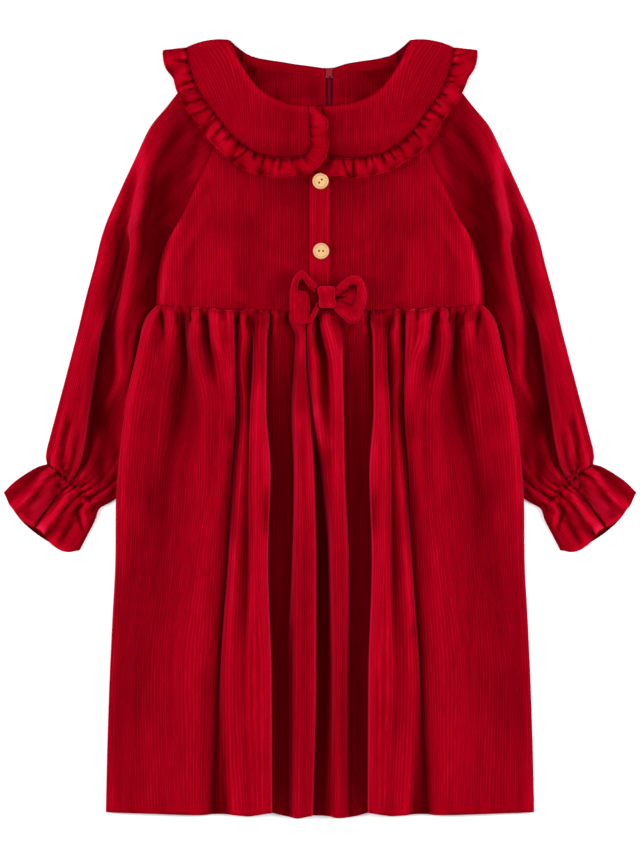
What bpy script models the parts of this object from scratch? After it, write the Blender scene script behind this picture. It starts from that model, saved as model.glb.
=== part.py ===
"""A girl's long-sleeved midi dress in ribbed velvet, laid flat on its back with its front up.

+X is the wearer's left, +Y runs from hem to neck, +Z is up from the table that it lies on.
Every cloth piece is a wall of CLOTH through a grid of points on the middle of the cloth, and a
grid comes from a short table: a row for each section or fold, columns as its head line says.
All sizes are in millimetres until finish_piece() scales them to metres.
"""

import math
from collections import namedtuple

import bmesh
import bpy
import numpy as np

MM = 0.001

# ---- driving sizes ----
CLOTH = 1.2              # wall of every cloth piece
GAP = 0.3                # between neighbours at a seam
PLY = CLOTH + GAP        # from one layer's middle to the next one lying on it
TABLE = CLOTH / 2        # middle of a layer that lies on the table
SLEEVE_STACK = 3.5       # what the body's sides climb, over the flat inner edge of a sleeve
COLLAR_STACK = 4.0       # what the back of the neck climbs, over the back of the collar
BODICE_LOFT = 6.0        # middle of the bodice's front above the table
LOFT_SHARE = 0.8         # share of the climb under it that the front keeps
COLLAR_LOFT = 3.4        # collar above the front that it lies on
UNDERARM_Y = 180.0
WAIST_Y = 114.0          # waist seam at the sides
WAIST_DIP = 5.5          # how much lower the seam is in the middle
HEM_Y = -359.0
NECK_FRONT_Y = 298.0     # lowest point of the neckline
RAGLAN_NECK = (65.0, 324.0)      # where the front raglan seam meets the neck
ZIP_X = 8.6              # the back opening lies a little to the wearer's left
ZIP_SLOT = 3.2           # half the opening between the two backs
NECK_BACK_Y = 336.0      # bottom of the back neck, at the zip
FRILL_WIDTH = 17.5
PLACKET_HALF = 9.6

RED = (0.33, 0.002, 0.016)
TAPE_RED = (0.17, 0.002, 0.03)
WOOD = (0.62, 0.40, 0.16)
LACQUER = (0.30, 0.06, 0.075)


# ---- helpers ----
def rows(head, *values):
    """A table: the head names the columns, and each row of values becomes one record."""
    record = namedtuple("Row", head)
    return [record(*v) for v in values]


def smooth(start, end, value):
    """0 before start, 1 after end, with an easy turn at both."""
    t = np.clip((value - start) / (end - start), 0.0, 1.0)
    return t * t * (3 - 2 * t)


def follow(stations, values, where):
    """A smooth line through the values at the stations that never overshoots them."""
    stations, values = np.asarray(stations, float), np.asarray(values, float)
    if stations[0] > stations[-1]:
        stations, values = stations[::-1], values[::-1]
    step = np.diff(stations)
    rise = np.diff(values) / step
    slope = np.zeros_like(values)
    same_way = rise[:-1] * rise[1:] > 0
    both = np.where(same_way, rise[:-1] + rise[1:], 1.0)
    slope[1:-1] = np.where(same_way, 2 * rise[:-1] * rise[1:] / both, 0.0)
    slope[0], slope[-1] = rise[0], rise[-1]
    where = np.clip(where, stations[0], stations[-1])
    k = np.clip(np.searchsorted(stations, where) - 1, 0, len(step) - 1)
    t = (where - stations[k]) / step[k]
    a, b = values[k], values[k + 1]
    return (
        a * (1 + 2 * t) * (1 - t) ** 2
        + b * t * t * (3 - 2 * t)
        + step[k] * t * (1 - t) * (slope[k] * (1 - t) - slope[k + 1] * t)
    )


def material(name, colour, roughness, metallic=0.0):
    made = bpy.data.materials.new(name)
    made.use_nodes = True
    shader = made.node_tree.nodes["Principled BSDF"]
    shader.inputs["Base Color"].default_value = (*colour, 1.0)
    shader.inputs["Roughness"].default_value = roughness
    shader.inputs["Metallic"].default_value = metallic
    return made


def finish_piece(name, mesh, look):
    """Scales a bmesh to metres and makes it the named object with its own material."""
    bmesh.ops.scale(mesh, vec=(MM, MM, MM), verts=mesh.verts)
    data = bpy.data.meshes.new(name)
    mesh.to_mesh(data)
    mesh.free()
    data.materials.append(material(name + "_look", *look))
    piece = bpy.data.objects.new(name, data)
    bpy.context.scene.collection.objects.link(piece)
    return piece


def cloth(name, grid, joined_from=None, thickness=CLOTH, look=(RED, 0.8)):
    """A wall through a grid of points. From row joined_from on, its last column is its first."""
    mesh = bmesh.new()
    verts = []
    for i, line in enumerate(grid):
        made = [mesh.verts.new(p) for p in line[:-1]]
        closed = joined_from is not None and i >= joined_from
        made.append(made[0] if closed else mesh.verts.new(line[-1]))
        verts.append(made)
    for low, high in zip(verts, verts[1:]):
        for j in range(len(low) - 1):
            corners = [low[j], low[j + 1], high[j + 1], high[j]]
            mesh.faces.new(dict.fromkeys(corners))
    bmesh.ops.recalc_face_normals(mesh, faces=mesh.faces)
    piece = finish_piece(name, mesh, look)
    wall = piece.modifiers.new("wall", "SOLIDIFY")
    wall.thickness = thickness * MM
    wall.offset = 0.0
    return piece


def combine(piece, other, operation):
    """Joins the other shape to the piece or cuts it away; the other one stays out of the build."""
    other.hide_render = True
    other.display_type = "WIRE"
    change = piece.modifiers.new(operation.lower(), "BOOLEAN")
    change.operation = operation
    change.solver = "EXACT"
    change.object = other


def rod_along_x(radius, length, sides):
    """A closed rod about the X axis, its middle at the origin."""
    mesh = bmesh.new()
    bmesh.ops.create_cone(mesh, cap_ends=True, segments=sides, radius1=radius, radius2=radius,
                          depth=length)
    for v in mesh.verts:
        v.co = (v.co.z, v.co.x, v.co.y)
    bmesh.ops.recalc_face_normals(mesh, faces=mesh.faces)
    return mesh


def through_rings(rings):
    """A closed solid through rings of points, both ends capped."""
    mesh = bmesh.new()
    made = [[mesh.verts.new(p) for p in ring] for ring in rings]
    for a, b in zip(made, made[1:]):
        for k in range(len(a)):
            n = (k + 1) % len(a)
            mesh.faces.new((a[k], a[n], b[n], b[k]))
    mesh.faces.new(made[0])
    mesh.faces.new(made[-1])
    bmesh.ops.recalc_face_normals(mesh, faces=mesh.faces)
    return mesh


# ---- what lies under the body ----
# The back of the collar fills half an ellipse about the neck: half its width, half its
# depth, its middle, and where the cloth over it comes down, counted in its radii.
COLLAR_BED_X, COLLAR_BED_Y, COLLAR_BED_MIDDLE = 148.0, 78.0, 352.0
COLLAR_BED_END, COLLAR_BED_FOOT = 1.04, 1.32
# The sleeves' inner edges under the body's sides, from the underarm down.
SLEEVE_EDGE = rows(
    "y x",
    (180, 142), (150, 144), (120, 146), (90, 150), (50, 157), (8, 162), (-22, 166), (-44, 170),
    (-62, 175),
)
SLEEVE_CLIMB = (26.0, 6.0)      # the body's side climbs between these distances inside the edge
SLEEVE_UNDER_TOP = (222.0, 184.0)       # it starts to climb below the armhole
SLEEVE_UNDER_END = (-108.0, -76.0)      # and is down again below the wrist


def over_collar(x, y):
    """How far the cloth at the neck is lifted by the back of the collar lying under it."""
    reach = np.hypot(x / COLLAR_BED_X, (y - COLLAR_BED_MIDDLE) / COLLAR_BED_Y)
    return COLLAR_STACK * (1 - smooth(COLLAR_BED_END, COLLAR_BED_FOOT, reach))


def over_sleeve(x, y):
    """How far the body's side is lifted by the inner edge of the sleeve lying under it."""
    edge = follow([r.y for r in SLEEVE_EDGE], [r.x for r in SLEEVE_EDGE], y)
    along = smooth(*SLEEVE_UNDER_TOP, y) * smooth(*SLEEVE_UNDER_END, y)
    return SLEEVE_STACK * smooth(edge - SLEEVE_CLIMB[0], edge - SLEEVE_CLIMB[1], np.abs(x)) * along


def bed(x, y):
    """Underside of the lowest layer of the body."""
    return np.maximum(over_collar(x, y), over_sleeve(x, y))


def front_height(x, y):
    """Middle of the bodice's front, and of the sleeve's top at the raglan seam."""
    return BODICE_LOFT + LOFT_SHARE * bed(x, y)


# ---- bodice ----
BODICE_EDGE = rows(
    "y half back_half",
    (114, 151.5, 151.5), (138, 149.5, 149.5), (160, 146.0, 146.0), (180, 138.5, 138.5),
    (198, 127.0, 127.5), (222, 116.0, 115.0), (242, 107.5, 104.5), (264, 97.2, 94.3),
    (290, 84.6, 82.5), (308, 74.9, 74.6), (324, 65.0, 67.0),
)
FRONT_COLUMNS = (0.0, 0.2, 0.45, 0.72, 0.92, 0.98, 1.0)
BACK_COLUMNS = (0.0, 0.35, 0.65, 0.84, 0.95, 1.0)
BACK_NECK_SIDE = (59.0, 344.5)      # where the back raglan seam meets the neck
BACK_TOP_ROW = 320.0    # rows of the edge above this one give way to the back neck's own line
BACK_SEAM_UP = 2.0      # the back raglan seam lies a little higher than the front one
WAIST_CURVE, NECK_CURVE = 2.0, 2.3      # how square the dip of a section is
SIDE_SEAM = (160.0, 182.0)      # the rolled edge of the side seam ends between these heights


def bodice_line(row, columns):
    """One section of the front, through the shares of its half width that the columns give."""
    up = (row.y - WAIST_Y) / (RAGLAN_NECK[1] - WAIST_Y)
    dip = WAIST_DIP + (RAGLAN_NECK[1] - NECK_FRONT_Y - WAIST_DIP) * up**2
    curve = WAIST_CURVE + (NECK_CURVE - WAIST_CURVE) * up
    line = []
    for u in columns:
        x = u * row.half
        y = row.y - dip * (1 - abs(u) ** curve)
        top = front_height(x, y)
        edge = bed(x, y) + TABLE + PLY
        round_off = smooth(0.9, 1.0, abs(u)) ** 2 * (1 - smooth(*SIDE_SEAM, row.y))
        line.append((x, y, top + (edge - top) * round_off))
    return line


def front_bodice():
    """One front, waist seam to neckline, between the side seams and the raglan seams."""
    columns = [-u for u in reversed(FRONT_COLUMNS[1:])] + list(FRONT_COLUMNS)
    return cloth("front_bodice", [bodice_line(row, columns) for row in BODICE_EDGE])


def back_bodice(name, side):
    """Half of the back, from the zip to the side seam and the raglan seam."""
    slot = ZIP_X + side * ZIP_SLOT
    sections = []       # x and y at the raglan or side seam, and y at the zip
    for row in BODICE_EDGE:
        if row.y < BACK_TOP_ROW:
            up = (row.y - WAIST_Y) / (RAGLAN_NECK[1] - WAIST_Y)
            middle_y = WAIST_Y - WAIST_DIP + (NECK_BACK_Y - WAIST_Y + WAIST_DIP) * up
            raised = BACK_SEAM_UP if row.y > UNDERARM_Y else 0.0
            sections.append((row.back_half, row.y + raised, middle_y))
    sections.append((*BACK_NECK_SIDE, NECK_BACK_Y))
    grid = []
    for edge_x, edge_y, middle_y in sections:
        line = []
        for u in BACK_COLUMNS:
            x = slot + (side * edge_x - slot) * u
            y = middle_y + (edge_y - middle_y) * u**2
            line.append((x, y, bed(x, y) + TABLE))
        grid.append(line)
    return cloth(name, grid)


# ---- skirt ----
SKIRT_LEVELS = (104.0, 62.0, -20.0, -122.0, -234.0, -359.0)
SKIRT_SIDE = rows(
    "y half",
    (113, 152.0), (104, 158.5), (90, 165.0), (59, 173.0), (22, 181.0), (-9, 185.0), (-48, 188.3),
    (-63, 189.3), (-127, 189.8), (-192, 193.5), (-258, 196.8), (-356, 198.8),
)
# Left half of the front, side seam to middle: x of each fold line at the waist and at
# the six levels, and its height there. The right half mirrors it.
SIDE_FOLDS = rows(
    "name x0 x1 x2 x3 x4 x5 x6 z1 z2 z3 z4 z5 z6",
    ("side_round", 147, 153, 167, 180, 185, 191, 194, 7.5, 8.0, 8.0, 7.0, 7.0, 6.5),
    ("side_ridge", 144, 147, 156, 166, 170, 174, 176, 8.5, 11, 11, 9.5, 9.0, 8.5),
    ("dimple", 138, 139, 144, 148, 151, 156, 160, 5.0, 9.0, 10, 9.0, 8.5, 8.0),
    ("side_trough", 131, 131, 133, 132, 134, 142, 148, 7.5, 5.0, 6.5, 7.5, 7.5, 7.0),
    ("lit_ridge", 117, 116, 111, 103, 108, 118, 125, 10, 13, 13.5, 11.5, 10.5, 9.5),
    ("notch", 106, 105, 100, 93, 98, 108, 114, 5.5, 9.5, 13.5, 12, 11, 9.5),
    ("panel_ridge", 97, 94, 87, 85, 91, 100, 108, 11, 14, 14, 13, 12, 10),
    ("panel_edge", 83, 81, 79.5, 81, 86.5, 94.3, 101, 10, 12.5, 13, 12, 11, 9.0),
    ("panel_foot", 80.5, 78.5, 77.5, 79.5, 85, 92.5, 98.5, 4.0, 3.2, 2.8, 2.8, 2.8, 2.8),
    ("shadow_end", 77, 75.5, 73.5, 73.5, 81.5, 88, 88.5, 5.0, 4.5, 3.2, 3.0, 3.0, 3.0),
    ("middle_ridge", 70, 70, 69, 66, 75, 80, 80, 8.5, 9.0, 8.5, 9.0, 12, 11),
    ("middle_dip", 63, 62, 63, 62.5, 67, 72, 74, 6.0, 6.5, 9.0, 10.5, 14, 13),
    ("crest", 53, 54, 57, 56, 58, 63, 66, 10, 14, 16, 17, 17.5, 15),
    ("lip", 47, 48, 50, 50.5, 48.2, 46.0, 45.2, 9.5, 13, 15, 15.5, 15.5, 13),
    ("foot", 45, 46, 48.2, 49, 46.8, 44.6, 43.8, 4.0, 3.2, 2.8, 2.8, 2.8, 2.8),
    ("trough", 35, 35.5, 37, 37, 37.5, 38, 38, 5.0, 3.5, 2.8, 2.8, 2.8, 2.8),
)
# The two folds in the middle, left to right, which don't mirror.
MIDDLE_FOLDS = rows(
    "name x0 x1 x2 x3 x4 x5 x6 z1 z2 z3 z4 z5 z6",
    ("first_foot", -28, -27, -25, -25.5, -26.5, -30, -31, 6.0, 4.5, 3.5, 3.5, 3.5, 3.5),
    ("first_crest", -20, -19.5, -18, -14, -15, -17, -19, 9.0, 10, 13, 15, 15.5, 14),
    ("first_lip", -13.5, -13, -12, -5.0, -3.5, -4.5, -8.0, 8.5, 9.5, 12, 14, 14, 12),
    ("first_lap", -11.5, -11, -9.5, -3.2, -1.8, -2.8, -5.6, 5.5, 5.5, 3.5, 2.8, 2.8, 2.8),
    ("gap", -8, -8, -4.5, 1.5, 8.5, 10, 9.5, 7.5, 8.0, 4.0, 2.8, 2.8, 2.8),
    ("second_shoulder", -3.5, -3, 0, 6.0, 12.5, 14, 13.5, 10, 11, 10, 10, 11, 10.5),
    ("inner_fold", 4.5, 4.5, 5.5, 11.5, 16, 17.5, 17, 8.0, 6.5, 10, 12.5, 13, 12),
    ("second_crest", 12, 13, 15, 19, 21, 22.5, 21, 11, 13, 14.5, 15, 15, 13.5),
    ("second_slope", 20, 20.5, 22, 24.5, 28, 30, 28, 8.5, 9.5, 9.0, 8.5, 8.5, 8.0),
)
HEM_WAVE = rows(
    "x y",
    (-199, -356.4), (-102, -359.0), (-70, -360.4), (-46, -356.8), (-21, -361.0), (-7, -359.2),
    (5, -359.6), (20, -361.2), (33, -360.0), (46, -356.8), (70, -360.4), (102, -359.0),
    (199, -356.2),
)
SKIRT_ROWS = (0.0, 0.022, 0.06, 0.12, 0.21, 0.36, 0.49, 0.66, 0.83, 1.0)
SKIRT_BACK_COLUMNS = (0.0, 0.3, 0.55, 0.72, 0.8, 0.88, 0.95, 1.0)
SEAM_SHIFT = 1.0        # the gathers' edge below the waist seam's line
SIDE_ROLL = 0.6         # the skirt's side rolls over this far inside its edge
SIDE_ROLL_SHARE = 0.45  # and that much of the way up to its first fold


def waist_seam(x):
    return WAIST_Y - WAIST_DIP * (1 - np.minimum(np.abs(x) / BODICE_EDGE[0].half, 1) ** 2)


def hem_line(x):
    return follow([r.x for r in HEM_WAVE], [r.y for r in HEM_WAVE], x)


def skirt_side(y):
    return follow([r.y for r in SKIRT_SIDE], [r.half for r in SKIRT_SIDE], y)


def fold_lines():
    """Every fold line of the front skirt, wearer's right to left: its x's and its heights."""
    levels = len(SKIRT_LEVELS)
    side = [(f[1:levels + 2], f[levels + 2:]) for f in SIDE_FOLDS]
    middle = [(f[1:levels + 2], f[levels + 2:]) for f in MIDDLE_FOLDS]
    mirrored = [([-x for x in xs], zs) for xs, zs in side]
    return mirrored + middle + side[::-1]


def side_edge(fold, side):
    """The two points that roll the skirt's front over to its side seam, next to its last fold."""
    y = fold[1]
    x = side * skirt_side(y)
    low = bed(x, y) + PLY
    return [(x, y, low), (x - side * SIDE_ROLL, y, low + SIDE_ROLL_SHARE * (fold[2] - low))]


def front_skirt():
    """The gathered front: soft pleats that start at the waist seam and run to the hem."""
    grid = []
    for share in SKIRT_ROWS:
        line = []
        for xs, zs in fold_lines():
            top, low = waist_seam(xs[0]) - SEAM_SHIFT, hem_line(xs[-1])
            y = top + (low - top) * share
            x = follow((top, *SKIRT_LEVELS[:-1], low), xs, y)
            seam_z = front_height(x, y)
            z = follow((top, *SKIRT_LEVELS[:-1], low), (seam_z, *zs), y)
            lift = bed(x, y) * smooth(0.0, 0.05, share)
            line.append((x, y, z + LOFT_SHARE * lift))
        grid.append(side_edge(line[0], -1) + line + side_edge(line[-1], 1)[::-1])
    return cloth("front_skirt", grid)


def back_skirt():
    """The back of the skirt, flat on the table, its sides lifted over the sleeves' edges."""
    across = [-u for u in reversed(SKIRT_BACK_COLUMNS[1:])] + list(SKIRT_BACK_COLUMNS)
    grid = []
    for share in SKIRT_ROWS:
        line = []
        for u in across:
            at_waist = u * BODICE_EDGE[0].half
            top = waist_seam(at_waist) - SEAM_SHIFT
            low = hem_line(u * SKIRT_SIDE[-1].half)
            y = top + (low - top) * share
            x = u * skirt_side(y)
            line.append((x, y, bed(x, y) + TABLE))
        grid.append(line)
    return cloth("back_skirt", grid)


# ---- sleeves ----
# Sections from the neck to the cuff's hem. fold is the outer edge that shows, seam the
# front raglan seam and then the inner fold, back the back raglan seam, bulge how far the
# middle of the section runs ahead of its ends, and inner the height of the inner fold.
SLEEVE_SECTIONS = rows(
    "fold_x fold_y seam_x seam_y back_x back_y bulge inner",
    (79.6, 350.0, 66.2, 325.2, 61.0, 345.8, 0, 0), (101, 342, 74.4, 311.6, 68.6, 328.0, 0, 0),
    (117, 328.5, 83.2, 296.6, 75.6, 313.0, 0, 0), (130, 314, 92.2, 277.6, 82.4, 298.0, 0, 0),
    (142.5, 298.5, 100.9, 259.6, 91.4, 279.0, 0, 0), (157, 281, 108.9, 242.6, 99.2, 261.0, 0, 0),
    (172, 250, 117.4, 222.8, 107.0, 244.0, 0, 0), (186, 222, 128.6, 198.8, 129.2, 200.8, 0, 0),
    (200, 188, 140.6, 180.6, 140.6, 180.6, 0, 5.3), (204, 172, 147.2, 170, 147.2, 170, 0, 2.6),
    (208, 155, 146.2, 156, 146.2, 156, 0, 1.6), (216.5, 120, 148.2, 124, 148.2, 124, 0, 1.6),
    (223, 91, 151.6, 92, 151.6, 92, 0, 1.6), (232.5, 55, 158.5, 50, 158.5, 50, 0, 1.6),
    (242, 22, 164, 8, 164, 8, 0, 1.6), (250.5, -7, 167.5, -22, 167.5, -22, 0, 1.6),
    (254, -20, 174, -46, 174, -46, 2, 1.7), (254.6, -27, 191.5, -66, 191.5, -66, 2, 1.6),
    (253.5, -33, 206, -75, 206, -75, 0, 3.2), (262, -36, 209.5, -85, 209.5, -85, 3, 2.8),
    (284, -50, 216.5, -99, 216.5, -99, 8, 2.4), (294, -60, 224, -113.5, 224, -113.5, 12.5, 2.2),
)
UNDERARM_ROW = 8        # from this section on, the sleeve is a closed tube
ARM_STATIONS = (0, 7, 12, 17, 18, 21)       # 18 is the gathered line at the wrist
# Fold lines of the top of the sleeve, inner edge to outer: where across the section each
# runs at the six stations (1 at the seam, 0 at the outer fold), and its height there.
SLEEVE_FOLDS = rows(
    "name a0 a1 a2 a3 a4 a5 z0 z1 z2 z3 z4 z5",
    ("inner_flat", 0.96, 0.96, 0.95, 0.95, 0.93, 0.95, 6.0, 5.0, 2.7, 2.7, 4.6, 4.0),
    ("under_body", 0.85, 0.84, 0.75, 0.75, 0.80, 0.84, 6.0, 4.6, 2.6, 2.6, 6.0, 6.5),
    ("inner_ridge", 0.70, 0.66, 0.58, 0.62, 0.66, 0.70, 6.0, 6.0, 8.6, 8.4, 7.5, 8.0),
    ("ridge_slope", 0.55, 0.52, 0.46, 0.50, 0.56, 0.62, 6.0, 8.2, 8.2, 8.0, 5.6, 5.0),
    ("trough", 0.42, 0.40, 0.33, 0.39, 0.50, 0.56, 5.9, 9.0, 4.8, 3.8, 6.0, 12.5),
    ("trough_lip", 0.32, 0.30, 0.28, 0.34, 0.42, 0.46, 5.8, 9.4, 9.0, 8.6, 8.6, 6.5),
    ("outer_ridge", 0.20, 0.18, 0.18, 0.22, 0.30, 0.32, 5.7, 9.4, 10.4, 10.5, 7.0, 9.5),
    ("outer_round", 0.10, 0.09, 0.09, 0.10, 0.14, 0.18, 5.6, 8.6, 8.8, 8.8, 8.2, 11.0),
    ("edge_round", 0.025, 0.025, 0.025, 0.03, 0.05, 0.06, 4.9, 6.2, 6.2, 6.2, 6.0, 6.0),
)
SLEEVE_BACK_COLUMNS = (0.03, 0.3, 0.7, 0.95)    # columns of the underside, outer fold to inner
EDGE_MIDDLE = 3.4       # height of the outer fold's middle
EDGE_UNDER = 0.4        # how far the underside still is off the table next to the outer fold
HARD_FOLD = 1.0         # radius of the flat inner fold, at the middle of the cloth
TO_SEAM = (0.6, 1.0)    # shares between which the top comes to the raglan seam's height
TO_BACK_SEAM = (0.75, 1.0)


def sleeve_top(i, section, fold, seam, top_z):
    """Shares across and heights of one section's top, inner edge to outer fold."""
    points = [(1.0, top_z)]
    stations = len(ARM_STATIONS)
    for f in SLEEVE_FOLDS:
        share = follow(ARM_STATIONS, f[1:stations + 1], i)
        z = follow(ARM_STATIONS, f[stations + 1:], i)
        if f.name == "inner_flat" and section.inner:
            z = section.inner + HARD_FOLD
        if i < UNDERARM_ROW:
            under = over_collar(*(fold + (seam - fold) * share))
            z += (top_z - z) * smooth(*TO_SEAM, share) - under * (1 - LOFT_SHARE)
        points.append((share, z))
    return points + [(0.0, EDGE_MIDDLE)]


def sleeve_underside(i, section, back, top_z):
    """Shares across and heights of one section's underside, outer fold to inner edge."""
    joined = i >= UNDERARM_ROW
    raised = 0.0 if joined else over_sleeve(*back)
    points = [(s, TABLE + raised * smooth(*TO_BACK_SEAM, s)) for s in SLEEVE_BACK_COLUMNS]
    points[0] = (points[0][0], points[0][1] + EDGE_UNDER)
    if joined:
        points[-1] = (points[-1][0], max(TABLE, section.inner - HARD_FOLD))
    return points + [(1.0, top_z if joined else TABLE + raised)]


def sleeve(name, side):
    """One raglan sleeve, neck to cuff: a tube pressed flat, open along its raglan seams."""
    grid = []
    for i, s in enumerate(SLEEVE_SECTIONS):
        fold = np.array((s.fold_x, s.fold_y))
        seam = np.array((s.seam_x, s.seam_y))
        back = np.array((s.back_x, s.back_y))
        across = (seam - fold) / np.linalg.norm(seam - fold)
        ahead = np.array((-across[1], across[0])) * s.bulge
        top_z = s.inner if i >= UNDERARM_ROW else front_height(*seam) - over_collar(*seam)
        points = [(seam, *p) for p in sleeve_top(i, s, fold, seam, top_z)]
        points += [(back, *p) for p in sleeve_underside(i, s, back, top_z)]
        line = []
        for end, share, z in points:
            x, y = fold + (end - fold) * share + ahead * 4 * share * (1 - share)
            line.append((side * x, y, z + over_collar(x, y)))
        grid.append(line)
    return cloth(name, grid, joined_from=UNDERARM_ROW)


# ---- collar and its frill ----
# Spines of a collar half from the front edge over the shoulder to the back edge. z_share
# runs from 1 on the front to 0 on the back, round the shoulder's fold in the middle.
COLLAR_SPINES = rows(
    "neck_x neck_y seam_x seam_y z_share",
    (10.6, 299.6, 9.2, 262.0, 1), (17, 300.0, 16.5, 253.2, 1), (30, 302.2, 33, 251.2, 1),
    (45.5, 308.2, 57, 255.0, 1), (57.5, 317.0, 80, 269.5, 1), (67.5, 329.5, 99, 294, 1),
    (75.5, 342, 112.5, 313, 0.99), (81.0, 352, 120.5, 333, 0.93), (83.6, 358.0, 123.2, 346, 0.78),
    (84.5, 360.3, 123.8, 351.5, 0.5), (83.2, 357.6, 122.6, 345, 0.2), (79.0, 354.2, 117, 332, 0.05),
    (66, 348.6, 103, 310, 0), (50, 344.6, 80, 296, 0), (32, 341.6, 50, 292.6, 0),
    (4.0, 337.5, 6.5, 292, 0),
)
# Across a collar half, neck to seam: where each column runs, and how far it drops to the neck.
COLLAR_ACROSS = rows("share drop", (0, 1.1), (0.035, 0.3), (0.12, 0), (0.5, 0), (0.75, 0), (1, 0))
SHOULDER_RISE = 3.2     # how much the shoulder's fold bows up between neck and seam
SHOULDER_FRONT, SHOULDER_BACK = (0.9, 0.5), (0.02, 0.3)     # z shares where that bow fades out
OVERLAP_LIFT = 3.2      # the right half's front lies on the left half's frill
OVERLAP_X = (34.0, 12.0)        # it climbs onto it between these distances from the middle
BACK_SHIFT_X = (70.0, 10.0)     # the halves' back ends shift with the zip between these
BACK_SHARE = 0.3        # z share below which a spine belongs to the back
ROLL_HEIGHT = (4.6, 8.6)        # the roll at the neck starts between these heights


def collar_points(side, along, share):
    """A point of a collar half. along runs 0 to 1 front to back, share 0 to 1 neck to seam."""
    spots = range(len(COLLAR_SPINES))
    columns = zip(*COLLAR_SPINES)
    neck_x, neck_y, seam_x, seam_y, z_share = (follow(spots, c, along * spots[-1]) for c in columns)
    x = neck_x + (seam_x - neck_x) * share
    y = neck_y + (seam_y - neck_y) * share
    on_shoulder = smooth(*SHOULDER_FRONT, z_share) * smooth(*SHOULDER_BACK, z_share)
    y += SHOULDER_RISE * 4 * share * (1 - share) * on_shoulder
    top = front_height(x, y) + COLLAR_LOFT
    if side < 0:
        top += OVERLAP_LIFT * smooth(*OVERLAP_X, x)
    back_shift = ZIP_X * smooth(BACK_SHARE, 0.0, z_share) * smooth(*BACK_SHIFT_X, x) * side
    return np.array((side * (x + back_shift), y, TABLE + (top - TABLE) * z_share))


def collar(name, side):
    """One collar half: rolls out of the neck seam and lies over the shoulder, front and back."""
    grid = []
    for along in np.linspace(0, 1, len(COLLAR_SPINES)):
        line = []
        for column in COLLAR_ACROSS:
            x, y, z = collar_points(side, along, column.share)
            line.append((x, y, z - column.drop * smooth(*ROLL_HEIGHT, z)))
        grid.append(line)
    return cloth(name, grid)


FRONT_EDGE_STEPS, OUTER_EDGE_STEPS = 6, 120     # points read along a collar half's edge
FRONT_EDGE_START = 0.12     # the frill starts this share below the neck seam
TURN_TO_BACK = (0.97, 0.8)  # z shares where the frill's way out turns with the shoulder


def unit(vectors):
    return vectors / np.linalg.norm(vectors, axis=1)[:, None]


def frill_seam(side):
    """The collar half's edge with the way out of it: up the front, round the corner, to the back."""
    stops = [(0.0, s) for s in np.linspace(FRONT_EDGE_START, 1.0, FRONT_EDGE_STEPS)]
    stops += [(a, 1.0) for a in np.linspace(0, 1, OUTER_EDGE_STEPS + 1)[1:]]
    line = np.array([collar_points(side, a, s) for a, s in stops])
    reach = np.concatenate(([0.0], np.cumsum(np.linalg.norm(np.diff(line, axis=0), axis=1))))
    spine = np.array([collar_points(side, a, 1.0) - collar_points(side, a, 0.8) for a, _ in stops])
    way = np.gradient(line, axis=0)
    square = np.stack([way[:, 1], -way[:, 0]], axis=1) * side
    spots = range(len(COLLAR_SPINES))
    z_shares = [c.z_share for c in COLLAR_SPINES]
    at_stops = np.array([follow(spots, z_shares, a * spots[-1]) for a, _ in stops])
    turn = smooth(*TURN_TO_BACK, at_stops)[:, None]
    return reach, line, unit(unit(square) * (1 - turn) + unit(spine[:, :2]) * turn)


FRILL_WAVE = 15.0       # length of one ruffle along the seam
FRILL_RISE = 1.7        # half the height of a ruffle at the frill's edge
FRILL_LIFT = 0.8        # what the frill's edge stands up, as a share of that
FRILL_STEPS = 4         # columns to a ruffle
FRILL_PHASE = 0.8       # where in its first ruffle a frill starts, in radians
FRILL_SEAM = 1.3        # the gathers start this far from the collar's edge
FRILL_PRESSED = 0.75    # share of a ruffle that is pressed out under something
ON_TABLE = (6.0, 1.0)   # heights between which the frill comes to lie on the table
LAIN_ON_X = (22.0, 8.0)     # the left frill is lain on from here to the middle


def frill(name, side):
    """A gathered strip along the collar half's edge, its ruffles flattest where it is lain on."""
    reach, line, outward = frill_seam(side)
    count = int(reach[-1] / FRILL_WAVE) * FRILL_STEPS
    grid = []
    for k, station in enumerate(np.linspace(0, reach[-1], count + 1)):
        point = np.array([np.interp(station, reach, line[:, a]) for a in range(3)])
        out = np.array([np.interp(station, reach, outward[:, a]) for a in range(2)] + [0.0])
        on_table = smooth(*ON_TABLE, point[2])
        lain_on = smooth(*LAIN_ON_X, abs(point[0])) * (1 - on_table) if side > 0 else 0.0
        rise = FRILL_RISE * (1 - FRILL_PRESSED * max(on_table, lain_on))
        wave = math.sin(2 * math.pi * k / FRILL_STEPS + FRILL_PHASE)
        edge_up = np.array((0, 0, rise * (wave + FRILL_LIFT)))
        grid.append([point + out * FRILL_SEAM, point + out * FRILL_WIDTH + edge_up])
    return cloth(name, grid)


# ---- placket, buttons, bow ----
def placket():
    """The strip down the front, neck to waist: points of the front bodice, moved out by a ply."""
    grid = []
    for row in BODICE_EDGE:
        half = PLACKET_HALF / row.half
        grid.append([(x, y, z + PLY) for x, y, z in bodice_line(row, (-half, 0.0, half))])
    return cloth("placket", grid)


BUTTON_PROFILE = rows(
    "r z",
    (0.0, 0.0), (6.6, 0.0), (7.5, 0.8), (7.5, 1.7), (6.9, 2.4), (6.2, 2.5), (5.6, 1.9), (0.0, 1.9),
)
BUTTONS = rows("name x y turn", ("button_top", 0.5, 230.0, 50), ("button_bottom", 1.0, 165.0, 0))
BUTTON_SIDES = 18
HOLE_RADIUS, HOLE_SIDES = 0.85, 10
HOLE_SPREAD = 1.5       # hole to the button's middle
HOLE_CUTTER = 8.0       # length of the cutter, well past both faces


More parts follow.
